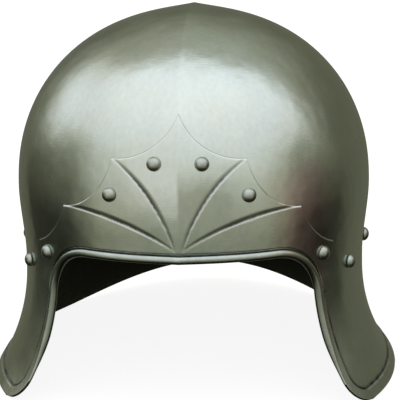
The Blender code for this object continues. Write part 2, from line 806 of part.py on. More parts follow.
def make_buckle():
    """A wire buckle frame, whose bar is on the strap's fold, with its prong."""
    place = buckle_frame_matrix()
    half, length, corner = BUCKLE_HALF_WIDTH, BUCKLE_LENGTH, BUCKLE_CORNER
    outline = []
    for cx, cy, turn in ((length - corner, half - corner, 0), (corner * 0.5, half - corner, 1)):
        for i in range(5):
            a = pi / 2 * (turn + i / 4)
            reach_x = corner if turn == 0 else corner * 0.5
            outline.append((cx + reach_x * cos(a), cy + corner * sin(a)))
    outline += [(x, -y) for x, y in reversed(outline)]
    points = [place @ Vector((x, y, 0)) for x, y in outline]
    tube("buckle_frame", points, BUCKLE_WIRE, cyclic=True)

    ring = BUCKLE_WIRE + GAP + PRONG_RADIUS
    angles = (radians(300 - 240 * i / 8) for i in range(9))
    loop = [Vector((ring * cos(a), 0, ring * sin(a))) for a in angles]
    shaft = [Vector((x, 0, ring)) for x in (0.006, 0.010, 0.014, BUCKLE_LENGTH + 0.0012)]
    tube("buckle_prong", [place @ p for p in loop + shaft], PRONG_RADIUS, resolution=1)


def make_keeper():
    """A leather loop round the short strap that holds the other half's tip."""
    angle = radians(STRAP_RIVET[0]) + STRAP_SHORT_SPAN * 0.40
    point, along, across, inwards = strap_frame(angle)
    place = Matrix((along, across, inwards)).transposed().to_4x4()
    place.translation = point
    half = STRAP_HALF_WIDTH + GAP
    low, high = -GAP, 2 * LEATHER + 2 * GAP
    outline = [(-half, low), (half, low), (half, high), (-half, high)]
    columns = 4

    def ring(column, row):
        y, z = outline[column % columns]
        return place @ Vector((KEEPER_WIDTH * (row - 0.5), y, z))

    keeper = place_object("strap_keeper", grid_mesh("strap_keeper", columns, 1, ring), "strap_leather")
    solidify(keeper, KEEPER_THICKNESS, 1)
    return keeper


# ---------------------------------------------------------------- assembly


def fasten(name, angle, down, stand, layers, holed, washer_lift=None):
    """A rivet through some layers, with a hole in each and, where it holds leather, a washer inside."""
    rivet(name, angle, down, stand, layers)
    for part in holed:
        cutter = drill(f"{name}_hole_{part.name}", frame_on_wall(angle, down), RIVET_HOLE_RADIUS, 0.030)
        boolean(part, cutter)
    if washer_lift is not None:
        washer(name.replace("rivet", "washer"), angle, down, washer_lift)


def fasten_all(skull, plate, band, straps):
    on_plate = 2 * GAP + PLATE_THICKNESS
    steel = STEEL + GAP
    band_depth = STEEL + BAND_GAP + LEATHER + TAIL_GAP
    lined = band_depth + WASHER_THICKNESS + GAP
    for base, place in BROW_RIVETS.items():
        through_band = "outer" in base
        layers = on_plate + (band_depth if through_band else steel)
        held = [skull, plate, band] if through_band else [skull, plate]
        for name, angle, down in sides(base, place):
            fasten(name, angle, down, on_plate, layers, held)
    for name, angle, down in sides("temple_rivet", TEMPLE_RIVET):
        fasten(name, angle, down, on_plate, on_plate + lined, [skull, plate, band], -band_depth)
    for base, place in LINING_RIVETS.items():
        for name, angle, down in sides(base, place):
            fasten(name, angle, down, HEAD_GAP, HEAD_GAP + lined, [skull, band], -band_depth)
    strap_depth = STEEL + BAND_GAP + LEATHER + STRAP_CLEARANCE + LEATHER + TAIL_GAP
    for name, angle, down in sides("strap_rivet", STRAP_RIVET):
        depth = HEAD_GAP + strap_depth + WASHER_THICKNESS + GAP
        strap = straps[0] if angle > 0 else straps[1]
        fasten(name, angle, down, HEAD_GAP, depth, [skull, band, strap], -strap_depth)


def fold_rivet(strap):
    """The small rivet that closes the short strap's fold."""
    angle = radians(STRAP_RIVET[0]) + STRAP_SHORT_SPAN - FOLD_RIVET_INSET / STRAP_RADIUS
    point, along, across, inwards = strap_frame(angle)
    place = Matrix((along, across, inwards)).transposed().to_4x4()
    place.translation = point + inwards * (2 * LEATHER + 2 * GAP)
    head, shank, grip = 0.0026, 0.0011, 2 * LEATHER + 3 * GAP
    profile = [(0, 0.0011), (head * 0.7, 0.0008), (head, 0), (shank, 0), (shank, -grip)]
    profile += [(head * 0.8, -grip), (head * 0.8, -grip - 0.0005), (0, -grip - 0.0006)]
    turned("strap_fold_rivet", profile, place, "rivet_steel", steps=12)
    boolean(strap, drill("strap_fold_hole", place, shank + GAP, 0.014, 10))


def stand_on_rim():
    """Tips the helmet back until its rim is level, and puts its box's bottom centre at the origin."""
    HELMET.rotation_euler = (-atan(RIM_SLOPE), 0, 0)
    bpy.context.view_layer.update()
    graph = bpy.context.evaluated_depsgraph_get()
    points = []
    for obj in HELMET.children:
        if obj.hide_render:
            continue
        shown = obj.evaluated_get(graph)
        mesh = shown.to_mesh()
        points += [shown.matrix_world @ vertex.co for vertex in mesh.vertices]
        shown.to_mesh_clear()
    low_y, high_y = min(p.y for p in points), max(p.y for p in points)
    HELMET.location = (0, -(low_y + high_y) / 2, -min(p.z for p in points))


def build():
    skull = make_skull()
    plate = make_brow_plate()
    band = make_lining_band()
    short, long = make_short_strap(), make_long_strap()
    fasten_all(skull, plate, band, (short, long))
    fold_rivet(short)
    make_buckle()
    make_keeper()
    for index in range(TONGUE_COUNT):
        make_tongue(index)
    make_lace()
    stand_on_rim()


clear_scene()
PARTS = bpy.data.collections.new("archers_sallet")
CUTTERS = bpy.data.collections.new("cutters")
for group in (PARTS, CUTTERS):
    bpy.context.scene.collection.children.link(group)
HELMET = bpy.data.objects.new("helmet", None)
PARTS.objects.link(HELMET)
build()
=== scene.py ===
"""An archer's sallet in satin steel: its visual pieces, materials, light and camera.

The steel, the rivets and the leather are rebuilt from the same formulas as the CAD solids, finely
enough to shade smoothly. Lengths are in metres. Pieces are made in the helmet's level frame, as it
sits on a head, and LEVEL takes them to the row's frame, where the helmet leans back on its rim.
"""

from math import acos, atan, cos, pi, radians, sin, tan

import bmesh
import bpy
import numpy as np
from mathutils import Matrix, Vector


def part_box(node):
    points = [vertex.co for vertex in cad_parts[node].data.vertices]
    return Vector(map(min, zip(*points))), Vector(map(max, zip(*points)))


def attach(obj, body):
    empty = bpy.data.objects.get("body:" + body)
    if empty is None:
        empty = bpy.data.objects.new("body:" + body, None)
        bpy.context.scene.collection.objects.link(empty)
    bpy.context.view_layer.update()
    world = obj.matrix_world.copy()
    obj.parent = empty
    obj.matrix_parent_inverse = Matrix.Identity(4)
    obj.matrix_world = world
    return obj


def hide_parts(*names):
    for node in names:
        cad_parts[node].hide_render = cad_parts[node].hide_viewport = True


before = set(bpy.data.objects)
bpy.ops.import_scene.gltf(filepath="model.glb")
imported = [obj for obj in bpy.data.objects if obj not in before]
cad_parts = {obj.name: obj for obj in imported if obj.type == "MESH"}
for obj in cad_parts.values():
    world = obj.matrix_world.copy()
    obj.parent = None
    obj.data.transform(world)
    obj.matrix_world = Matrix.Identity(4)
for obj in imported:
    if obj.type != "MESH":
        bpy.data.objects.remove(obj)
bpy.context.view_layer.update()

# Skull.
SKULL_HALF_WIDTH = 0.1065
FRONT_REACH = 0.116
BACK_REACH = 0.130
CROWN_HEIGHT = 0.103
CROWN_ARC = CROWN_HEIGHT * pi / 2
DOME_FULLNESS = 0.94
KEEL_HEIGHT = 0.0026
KEEL_SPREAD = 0.013
BACK_FROM_COS = 0.2
WALL_BLEND = 0.005
SIDE_WAIST = 0.0038
NAPE_WAIST = 0.009
WAIST_DROP = 0.045
SIDE_FLARE = 0.019
SIDE_FLARE_RISE = 0.066
NAPE_FLARE = 0.026
NAPE_FLARE_RISE = 0.050
TAIL_REACH = 0.007
TAIL_HALF_WIDTH = 0.055
STEEL = 0.0016
CHART_RADIUS = 0.105
NORMAL_STEP = 1e-3
POLE_SHARE = 0.995
SEAM_DISTANCE = 2e-5

# Edge of the skull, on the flat pattern of (distance round, distance down).
BROW_DROP = 0.027
CHEEK_DROP = 0.122
BROW_CORNER = (0.0845, BROW_DROP)
BROW_CORNER_RADIUS = 0.032
CHEEK_CORNER = (0.0995, CHEEK_DROP)
CHEEK_CORNER_RADIUS = 0.018
RIM_SLOPE = 0.116
RIM_START_Y = -0.054
TAIL_EXTRA = 0.015
NAPE_ARCH = 0.014
NAPE_ARCH_FROM = radians(130)
BORDER_WIDTH = 0.005
BORDER_STEP = 0.0008
BORDER_RAISE = 0.0008
MARGIN = 0.010
CROWN_BASE = -0.060
CROWN_BIAS = 0.60
RELAX_ROUNDS = 90
EDGE_ROWS_MM = [8.2, 7.0, 6.4, 6.0, 5.8, 5.6, 5.4, 5.2, 5.0, 4.6, 3.8, 2.6, 1.4, 0.7, 0.3, 0.0]

# Rolled edge.
ROLL_RADIUS = 0.0025
ROLL_LIFT = 0.0004
ROLL_END_RADIUS = 0.0009
ROLL_STRAIGHT_RUN = 0.026
ROLL_TAPER_RUN = 0.030
ROLL_FOOT = 0.0028
ROLL_STEPS = 400
ROLL_SIDES = 24

# Brow plate.
PLATE_THICKNESS = 0.0012
PLATE_CUSPS = [(0.0, -0.0520), (0.0392, -0.0272), (0.0715, 0.0010), (0.0995, 0.0250)]
SCALLOP_SAGS = [0.0074, 0.0080, 0.0045]
PLATE_ROLL_GAP = 0.0031
PLATE_FOOT = (0.0955, 0.0550)
FLUTE_ROOT = (0.0020, 0.0215)
FLUTE_BOWS = [0.0058, 0.0051]
FLUTE_DEPTH = 0.0008
FLUTE_WALL = 0.0026
FLUTE_LIP = 0.0006
FLUTE_STEPS = 80
FLUTE_TAPER = 0.03
FLUTE_FULLNESS = 0.6
PLATE_EDGE_ROUND = 0.0004

# Rivets.
GAP = 0.0003
TAIL_GAP = 0.0006
HEAD_GAP = 0.0005
BAND_GAP = 0.0007
LEATHER = 0.0020
STRAP_CLEARANCE = 0.0008
BAND_DEPTH = STEEL + BAND_GAP + LEATHER
RIVET_SHANK_RADIUS = 0.0018
RIVET_HOLE_RADIUS = 0.0022
RIVET_HOLE_DEPTH = 0.030
RIVET_HEAD_RADIUS = 0.0042
RIVET_HEAD_HEIGHT = 0.0034
RIVET_HEAD_BEVEL = 0.0004
RIVET_SHANK_LENGTH = 0.0066
WASHER_RADIUS = 0.0050
WASHER_THICKNESS = 0.0010
WASHER_BEVEL = 0.0002
STRAP_ANGLE = radians(67)
STRAP_DOWN = 0.0425
PLATE_TOP = 2 * GAP + PLATE_THICKNESS
RIVETS = {
    "brow_rivet_inner": (radians(7.2), -0.0247, PLATE_TOP),
    "brow_rivet_outer": (radians(21.3), -0.0075, PLATE_TOP),
    "temple_rivet": (radians(49.5), 0.0310, PLATE_TOP),
    "strap_rivet": (STRAP_ANGLE, STRAP_DOWN, HEAD_GAP),
    "lining_rivet_side": (radians(92), 0.036, HEAD_GAP),
    "lining_rivet_rear": (radians(128), 0.034, HEAD_GAP),
    "lining_rivet_nape": (radians(162), 0.033, HEAD_GAP),
}

# Leather lining.
BAND_HALF_WIDTH = 0.012
BAND_BROW_DOWN = -0.009
BAND_SIDE_DOWN = 0.034
BAND_BROW_ANGLE = radians(28)
BAND_SIDE_ANGLE = radians(58)
BAND_STEPS = 384
TONGUE_COUNT = 8
TONGUE_THICKNESS = 0.0018
TONGUE_LAP = 0.003
TONGUE_BASE_HALF_ANGLE = radians(17.5)
TONGUE_TIP_HALF_ANGLE = radians(19.5)
TONGUE_TIP_DOWN = -0.122
TONGUE_AIR = 0.011
TONGUE_AIR_FROM = 0.06
TONGUE_AIR_RUN = 0.7
TONGUE_LENGTH = 0.125
TONGUE_FOOT_SHARE = 0.3
LACE_STRAND_RADIUS = 0.00056
LACE_STRAND_OFFSET = 0.00050
LACE_PITCH = 0.0055
LACE_SWING = 0.0045
LACE_HOLE_RADIUS = 0.0042
LACE_INSET = 0.008
LACE_STEPS = 1200
LACE_HOLE_DEPTH = 0.008

# Chin strap.
STRAP_HALF_WIDTH = 0.008
STRAP_EASE = 0.0034
STRAP_EASE_ANGLE = radians(14)
STRAP_LONG_SPAN = radians(86)
STRAP_SHORT_SPAN = radians(40)
STRAP_NOSE_ANGLE = radians(4.5)
STRAP_TIP_ANGLE = radians(9)
STRAP_LEAST_WIDTH = 0.0012
STRAP_FIRST_HOLE = radians(12)
STRAP_HOLES = 5
STRAP_HOLE_RADIUS = 0.0014
STRAP_HOLE_STEP = radians(7)
STRAP_HOLE_DEPTH = 0.012
STRAP_FOLD = 0.021
STRAP_RADIUS = 0.110
PRONG_SLOT = (0.0130, 0.0036, 0.0120)
PRONG_SLOT_SHIFT = 0.0030
FOLD_RIVET_INSET = 0.016
FOLD_RIVET_HEAD = 0.0026
FOLD_RIVET_RISE = 0.0011
FOLD_RIVET_SHANK = 0.0011
FOLD_RIVET_TAIL = 0.8
BUCKLE_WIRE = 0.0013
BUCKLE_LENGTH = 0.019
BUCKLE_HALF_WIDTH = 0.0118
BUCKLE_CORNER = 0.004
PRONG_RADIUS = 0.0010
PRONG_PAST = 0.0012
PRONG_OPENING = radians(60)
KEEPER_THICKNESS = 0.0013
KEEPER_WIDTH = 0.007
KEEPER_PLACE = 0.40
KEEPER_CORNER = 0.0005

# Leather's edge and stitches.
EDGE_ROUND = 0.0007
EDGE_SHARES = np.array([0.0, 0.05, 0.18, 0.40, 0.70])
EDGE_LEAST = 0.002
STITCH_INSET_MM = 2.4
STITCH_PITCH_MM = 3.6

# Colours.
SATIN_STEEL = (0.600, 0.662, 0.620)
RIVET_STEEL = (0.44, 0.48, 0.44)
STEEL_WARM = (1.01, 0.98, 0.94)
STEEL_COOL = (0.97, 1.0, 1.02)
STEEL_RUBBED = 0.72
# Pale rubbed steel for edges and the border's step: partly wear, partly a painted highlight line.
BARE_STEEL_AND_HIGHLIGHT = (0.82, 0.83, 0.80)
# The dark colour of painted shade, laid in grooves, in the border's step and above the roll.
PAINTED_SHADE_COLOUR = (0.030, 0.030, 0.022)
LINING_BROWN = (0.085, 0.052, 0.032)
STRAP_BROWN = (0.085, 0.048, 0.027)
THREAD = (0.36, 0.29, 0.19)

# Surroundings. Levels are brightness. Each ramp is (start, end, value at start, value at end) of one part
# of a direction: z up, y away from the camera, x to its right. Patches are (centre, degrees, level).
TENT_LEVEL = 0.60
TENT_SLOPE = 0.80
TENT_LEAST = 0.02
SIDE_RAMP = (-0.62, -0.05, 0.0, 1.0)
LOW_SIDE_RAMP = (-0.30, 0.21, 0.08, 0.38)
HIGH_SIDE_RAMP = (0.20, 0.50, 0.0, 0.62)
LEFT_RAMP = (-0.35, -0.75, 0.0, 1.0)
SHIFT_RAMP = (-0.10, 0.30, 0.25, 0.0)
LEFT_SHIFT_RAMP = (0.1, 0.85, 0.16, 0.05)
FRONT_RAMP = (0.21, 0.37, 1.0, 0.0)
REAR_RAMP = (0.2, 0.95, 0.14, 0.50)
LEFT_REAR_RAMP = (-0.1, 0.3, 0.0, 0.2)
PATCHES = [
    ((-0.79, 0.41, 0.45), 24, 1.10),
    ((0.40, -0.91, 0.02), 14, 0.34),
    ((-0.47, -0.86, 0.22), 20, 0.95),
]
WARM_PATCH = ((0.97, -0.10, -0.20), 25)
WARM_TINT = (1.32, 0.82, 0.68)
SHADE_TINT = (1.0, 1.0, 0.66)
LIGHT_TINT = (1.0, 1.0, 1.04)

# Floor and camera.
FLOOR_HALF = 6.0
FLOOR_GLOW = 0.90
CAMERA_AZIMUTH = radians(4.6)
CAMERA_ELEVATION = radians(10) + atan(RIM_SLOPE)
CAMERA_ROLL = radians(-1.2)
CAMERA_DISTANCE = 1.3
CAMERA_SHIFT = (0.015, -0.0585)
SENSOR_WIDTH = 36.0
VIEW_WIDTH = 0.244


def clamp(value):
    return np.clip(value, 0.0, 1.0)


def smooth(value):
    value = clamp(value)
    return value * value * (3 - 2 * value)


def mix(first, second, share):
    return first + (second - first) * share


def bell(distance, width):
    """1 at distance 0, falling off smoothly over about that width."""
    return np.exp(-((distance / width) ** 2))


def run_along(points):
    """The distance along a line of points, at each of them."""
    return np.concatenate([[0], np.cumsum(np.linalg.norm(np.diff(points, axis=0), axis=1))])


def unit(vectors):
    return vectors / np.maximum(np.linalg.norm(vectors, axis=-1, keepdims=True), 1e-12)


# The skull's surface.


def rim_down(angle):
    """How far down the rim is at an angle round from the brow's centre."""
    angle = np.abs(angle)
    reach = np.where(np.cos(angle) > 0, FRONT_REACH, BACK_REACH + TAIL_EXTRA)
    plane = CHEEK_DROP - RIM_SLOPE * (-reach * np.cos(angle) - RIM_START_Y)
    arch = NAPE_ARCH * smooth((angle - NAPE_ARCH_FROM) / (pi - NAPE_ARCH_FROM))
    return np.minimum(CHEEK_DROP, plane) - arch


def wall(angle, down, keel=KEEL_HEIGHT):
    """Points on the skull's outer surface, in the level frame."""
    angle, down = np.broadcast_arrays(np.asarray(angle, float), np.asarray(down, float))
    reach = np.where(np.cos(angle) > 0, FRONT_REACH, BACK_REACH)
    above = np.minimum(WALL_BLEND * np.logaddexp(0, -down / WALL_BLEND), CROWN_ARC)
    polar = pi / 2 * (1 - above / CROWN_ARC)
    spread = np.maximum(np.sin(polar), 0) ** DOME_FULLNESS
    x = SKULL_HALF_WIDTH * spread * np.sin(angle)
    y = -reach * spread * np.cos(angle)
    z = CROWN_HEIGHT * np.maximum(np.cos(polar), 0) ** DOME_FULLNESS - down - above

    backness = smooth((BACK_FROM_COS - np.cos(angle)) / (1 + BACK_FROM_COS))
    waist = mix(SIDE_WAIST, NAPE_WAIST, backness) * smooth(down / WAIST_DROP)
    rise = mix(SIDE_FLARE_RISE, NAPE_FLARE_RISE, backness)
    flare = mix(SIDE_FLARE, NAPE_FLARE, backness)
    flare = flare + np.where(np.cos(angle) < 0, TAIL_REACH * bell(x, TAIL_HALF_WIDTH), 0)
    opened = clamp((down - rim_down(angle) + rise) / rise)
    outward = unit(np.stack([x / SKULL_HALF_WIDTH**2, y / reach**2, np.zeros_like(x)], -1))
    points = np.stack([x, y, z], -1) + outward * (flare * opened**2 - waist)[..., None]

    slope = np.stack([x / SKULL_HALF_WIDTH**2, y / reach**2, np.maximum(z, 0) / CROWN_HEIGHT**2], -1)
    return points + unit(slope) * (keel * np.exp(-np.abs(x) / KEEL_SPREAD))[..., None]


def wall_normal(angle, down, keel=KEEL_HEIGHT):
    angle, down = np.broadcast_arrays(np.asarray(angle, float), np.asarray(down, float))
    round_step = wall(angle + NORMAL_STEP, down, keel) - wall(angle - NORMAL_STEP, down, keel)
    along = NORMAL_STEP * CHART_RADIUS
    down_step = wall(angle, down + along, keel) - wall(angle, down - along, keel)
    normal = unit(np.cross(down_step, round_step))
    return np.where((down < -POLE_SHARE * CROWN_ARC)[..., None], np.array([0.0, 0.0, 1.0]), normal)


def on_wall(angle, down, lift=0.0, keel=KEEL_HEIGHT):
    lift = np.asarray(lift, float)
    return wall(angle, down, keel) + wall_normal(angle, down, keel) * lift[..., None]


def frame_on_wall(angle, down, lift=0.0):
    """A level-frame matrix whose origin is there, with Z along the outward normal and Y down the wall."""
    normal = Vector(wall_normal(angle, down))
    along = Vector(wall(angle, down + 1e-4) - wall(angle, down)).normalized()
    across = along.cross(normal).normalized()
    along = normal.cross(across)
    place = Matrix((across, along, normal)).transposed().to_4x4()
    place.translation = Vector(on_wall(angle, down, lift))
    return place


# Outlines on the flat pattern.


def corner_arc(before, corner, after, radius, steps):
    """Points of the arc that rounds a corner, from one leg's tangent point to the other's."""
    corner = Vector(corner)
    into, out = (corner - Vector(before)).normalized(), (Vector(after) - corner).normalized()
    turn = acos(into.dot(out))
    start = corner - into * radius * tan(turn / 2)
    side = 1 if into.x * out.y - into.y * out.x > 0 else -1
    normal = Vector((-into.y, into.x)) * side
    centre = start + normal * radius
    angles = (turn * i / steps for i in range(steps + 1))
    return [centre - normal * radius * cos(a) + into * radius * sin(a) for a in angles]


def sagging_arc(start, end, sag, steps):
    """Points of an arc between two points that sags below their chord, where down is positive."""
    start, end = Vector(start), Vector(end)
    chord = end - start
    side = Vector((-chord.y, chord.x)).normalized()
    half = chord.length / 2
    radius = (half * half + sag * sag) / (2 * sag)
    half_turn = acos((radius - sag) / radius)
    centre = (start + end) / 2 - side * (radius - sag)
    angles = (mix(-half_turn, half_turn, i / steps) for i in range(steps + 1))
    return [centre + side * radius * cos(a) + chord.normalized() * radius * sin(a) for a in angles]


class Edge:
    """The skull's edge over one half, from the brow's centre round the cheek to the nape's centre."""

    def __init__(self, steps=24):
        brow = Vector((0, BROW_DROP))
        arc = corner_arc(brow, BROW_CORNER, CHEEK_CORNER, BROW_CORNER_RADIUS, steps)
        beyond = (CHEEK_CORNER[0] + 1, CHEEK_DROP)
        cheek = corner_arc(BROW_CORNER, CHEEK_CORNER, beyond, CHEEK_CORNER_RADIUS, steps)
        rim = [mix(cheek[-1].x, pi * CHART_RADIUS, i / (4 * steps)) for i in range(1, 4 * steps + 1)]
        points = [brow] + arc + cheek + [Vector((x, float(rim_down(x / CHART_RADIUS)))) for x in rim]
        self.points = np.array(points)
        self.lengths = run_along(self.points)
        self.length = self.lengths[-1]
        self.corner_end = self.lengths[len(arc)]

    def at(self, along):
        """Points at distances along the edge."""
        along = np.clip(along, 0, self.length)
        return np.stack([np.interp(along, self.lengths, self.points[:, i]) for i in (0, 1)], -1)

    def inward(self, along, spread=0.004):
        """The unit normals that point into the steel there."""
        tangent = self.at(along + spread) - self.at(along - spread)
        ends = (along < spread) | (along > self.length - spread)
        tangent = np.where(ends[..., None], np.array([1.0, 0.0]), tangent)
        return unit(np.stack([tangent[..., 1], -tangent[..., 0]], -1))


EDGE = Edge()


def border_lift(along, inside):
    share = smooth((along - EDGE.corner_end) / ROLL_STRAIGHT_RUN)
    return BORDER_RAISE * share * (1 - smooth((inside - BORDER_WIDTH) / BORDER_STEP))


def coarse_chart(columns=44, crown_rows=6, side_rows=12):
    """(round, down) of the CAD grid from the crown to the margin, as an array of rows."""
    share = np.linspace(0, 1, columns + 1)
    starts = pi * CHART_RADIUS * (share + CROWN_BIAS * share * (1 - share))
    downs = np.linspace(-CROWN_ARC, CROWN_BASE, crown_rows + 1)
    crown = np.stack(np.broadcast_arrays(starts[None, :], downs[:, None]), -1)
    along = EDGE.length * share
    margin = EDGE.at(along) + EDGE.inward(along) * MARGIN
    t = np.linspace(0, 1, side_rows + 1)[:, None, None]
    side = crown[-1] * (1 - t) + margin * t
    for _ in range(RELAX_ROUNDS):
        inner = side[1:-1, 1:-1]
        inner[:] = (side[1:-1, :-2] + side[1:-1, 2:] + side[:-2, 1:-1] + side[2:, 1:-1]) / 4
        for i in (0, -1):
            side[1:-1, i, 1] = (side[:-2, i, 1] + side[2:, i, 1]) / 2
    return np.concatenate([crown, side[1:]])


def refine(grid, times):
    """The grid with that many times as many cells each way, filled in linearly."""
    for axis in (0, 1):
        count = grid.shape[axis]
        places = np.linspace(0, count - 1, (count - 1) * times + 1)
        low = np.minimum(places.astype(int), count - 2)
        shape = [1, 1, 1]
        shape[axis] = -1
        share = (places - low).reshape(shape)
        grid = np.take(grid, low, axis) * (1 - share) + np.take(grid, low + 1, axis) * share
    return grid


# Placing pieces.


def find_level():
    """Takes the level frame to the row's frame. A washer, whose place is known in both, gives the shift."""
    turn = Matrix.Rotation(-atan(RIM_SLOPE), 4, "X")
    depth = BAND_DEPTH + STRAP_CLEARANCE + LEATHER + TAIL_GAP + WASHER_THICKNESS / 2
    centre = on_wall(STRAP_ANGLE, STRAP_DOWN, -depth)
    low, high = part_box("strap_washer_left")
    return Matrix.Translation((Vector(low) + Vector(high)) / 2 - turn @ Vector(centre)) @ turn


LEVEL = find_level()
TO_ROW = np.array(LEVEL)


def to_row(points):
    return points @ TO_ROW[:3, :3].T + TO_ROW[:3, 3]


def add_object(name, data):
    obj = bpy.data.objects.new(name, data)
    bpy.context.scene.collection.objects.link(obj)
    return obj


def new_mesh(name, points, faces):
    mesh = bpy.data.meshes.new(name)
    mesh.from_pydata(points, [], faces)
    return mesh


def add_piece(name, data, material, body="helmet", nodes=(), slot=None):
    obj = add_object(name, data)
    data.materials.append(material)
    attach(obj, body)
    if nodes:
        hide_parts(*nodes)
    return obj


def cells(index):
    """The quads between the points of a grid of point numbers."""
    return np.stack([index[:-1, :-1], index[1:, :-1], index[1:, 1:], index[:-1, 1:]], -1).reshape(-1, 4)


def grid_piece(name, points, material, marks=None, **where):
    """A smooth sheet through rows of level-frame points, joined where it meets itself, with float marks."""
    rows, columns = points.shape[:2]
    faces = cells(np.arange(rows * columns).reshape(rows, columns))
    mesh = new_mesh(name, to_row(points.reshape(-1, 3)).tolist(), faces.tolist())
    add_marks(mesh, marks)
    work = bmesh.new()
    work.from_mesh(mesh)
    bmesh.ops.remove_doubles(work, verts=work.verts, dist=SEAM_DISTANCE)
    finish_mesh(work, mesh)
    return add_piece(name, mesh, material, **where)


def add_marks(mesh, marks, copies=1):
    for key, values in (marks or {}).items():
        layer = mesh.attributes.new(key, "FLOAT", "POINT")
        layer.data.foreach_set("value", np.tile(np.asarray(values, np.float32).reshape(-1), copies))


def finish_mesh(work, mesh):
    work.to_mesh(mesh)
    work.free()
    mesh.shade_smooth()


def mirrored(values):
    """Half a grid of points or marks, with its mirror image before it."""
    other = values[:, :0:-1]
    if values.ndim == 3:
        other = other * np.array([-1.0, 1.0, 1.0])
    return np.concatenate([other, values], 1)


def solidify(obj, thickness, inside):
    """Thickens a sheet inwards and gives its inner face and its rim faces another material."""
    obj.data.materials.append(inside)
    modifier = obj.modifiers.new("thickness", "SOLIDIFY")
    modifier.thickness = thickness
    modifier.offset = -1.0
    # The rim faces take the near-black inside material as a painted dark shade line along each edge.
    modifier.material_offset = modifier.material_offset_rim = 1
    return obj


def near_edges(count, length):
    """Shares of a length: evenly spaced, with more close to both ends for a rounded edge."""
    close = EDGE_SHARES * EDGE_ROUND / length
    middle = np.linspace(EDGE_ROUND / length, 1 - EDGE_ROUND / length, count)
    return np.concatenate([close, middle, 1 - close[::-1]])


def edge_swell(distance):
    """How full a slab is at a distance from its edge: a quarter circle that reaches 1 at EDGE_ROUND."""
    return np.sqrt(np.maximum(1 - (1 - clamp(distance / EDGE_ROUND)) ** 2, EDGE_LEAST))


def slab(name, middle, normal, half, material, marks=None, **where):
    """A closed slab: a grid of middle points, thickened by half both ways along the normals."""
    rows, columns = middle.shape[:2]
    lift = normal * half[..., None]
    points = np.concatenate([(middle + lift).reshape(-1, 3), (middle - lift).reshape(-1, 3)])
    index = np.arange(rows * columns).reshape(rows, columns)
    below = rows * columns
    faces = [cells(index), cells(index + below)]
    for line in (index[0], index[:, -1], index[-1, ::-1], index[::-1, 0]):
        faces.append(np.stack([line[:-1], line[1:], line[1:] + below, line[:-1] + below], -1))
    mesh = new_mesh(name, to_row(points).tolist(), np.concatenate(faces).tolist())
    add_marks(mesh, marks, copies=2)
    face_outwards(mesh)
    return add_piece(name, mesh, material, **where)


def face_outwards(mesh):
    work = bmesh.new()
    work.from_mesh(mesh)
    bmesh.ops.recalc_face_normals(work, faces=work.faces)
    finish_mesh(work, mesh)


def ring_tangent(points):
    return unit(np.roll(points, -1, 0) - np.roll(points, 1, 0))


def tube(name, centres, radius, material, sides=14, closed=False, **where):
    """A round bar through level-frame points. The radius is one number, or one for each point."""
    tangent = ring_tangent(centres) if closed else unit(np.gradient(centres, axis=0))
    side = unit(np.cross(tangent[0], [0.31, 0.52, 0.80]))
    turns = np.linspace(0, 2 * pi, sides + 1)[:-1]
    points = []
    for centre, way, r in zip(centres, tangent, np.broadcast_to(radius, len(centres))):
        side = unit(side - way * side.dot(way))
        other = np.cross(way, side)
        points += [centre + (side * cos(t) + other * sin(t)) * r for t in turns]
    count = len(centres)
    faces = []
    for i in range(count if closed else count - 1):
        a, b = i * sides, (i + 1) % count * sides
        faces += [(a + j, a + (j + 1) % sides, b + (j + 1) % sides, b + j) for j in range(sides)]
    if not closed:
        faces += [tuple(range(sides - 1, -1, -1)), tuple(range((count - 1) * sides, count * sides))]
    mesh = new_mesh(name, to_row(np.array(points)).tolist(), faces)
    face_outwards(mesh)
    return add_piece(name, mesh, material, **where)


def cut(obj, cutters):
    """Takes closed level-frame cutters, given as (points, faces), out of a piece."""
    helpers = []
    for points, faces in cutters:
        mesh = new_mesh("cutter", [LEVEL @ Vector(p) for p in points], faces)
        face_outwards(mesh)
        helper = add_object("cutter", mesh)
        modifier = obj.modifiers.new("cut", "BOOLEAN")
        modifier.object = helper
        helpers.append(helper)
    bpy.context.view_layer.update()
    made = bpy.data.meshes.new_from_object(obj.evaluated_get(bpy.context.evaluated_depsgraph_get()))
    obj.modifiers.clear()
    obj.data = made
    for helper in helpers:
        bpy.data.objects.remove(helper)
    return obj


def drill(place, radius, depth, steps=24):
    """The points and faces of a cylinder centred on place, along its Z axis."""
    turns = [2 * pi * i / steps for i in range(steps)]
    ends = (-depth / 2, depth / 2)
    points = [place @ Vector((radius * cos(t), radius * sin(t), h)) for h in ends for t in turns]
    faces = [(i, (i + 1) % steps, steps + (i + 1) % steps, steps + i) for i in range(steps)]
    return points, faces + [tuple(range(steps)), tuple(range(2 * steps - 1, steps - 1, -1))]


def lathe(name, profile, place, material, steps=32, **where):
    """A profile of (radius, height) points turned about place's Z axis."""
    turns = np.linspace(0, 2 * pi, steps + 1)
    points = [[place @ Vector((r * cos(t), r * sin(t), h)) for t in turns] for r, h in profile]
    return grid_piece(name, np.array(points), material, **where)


# Materials.


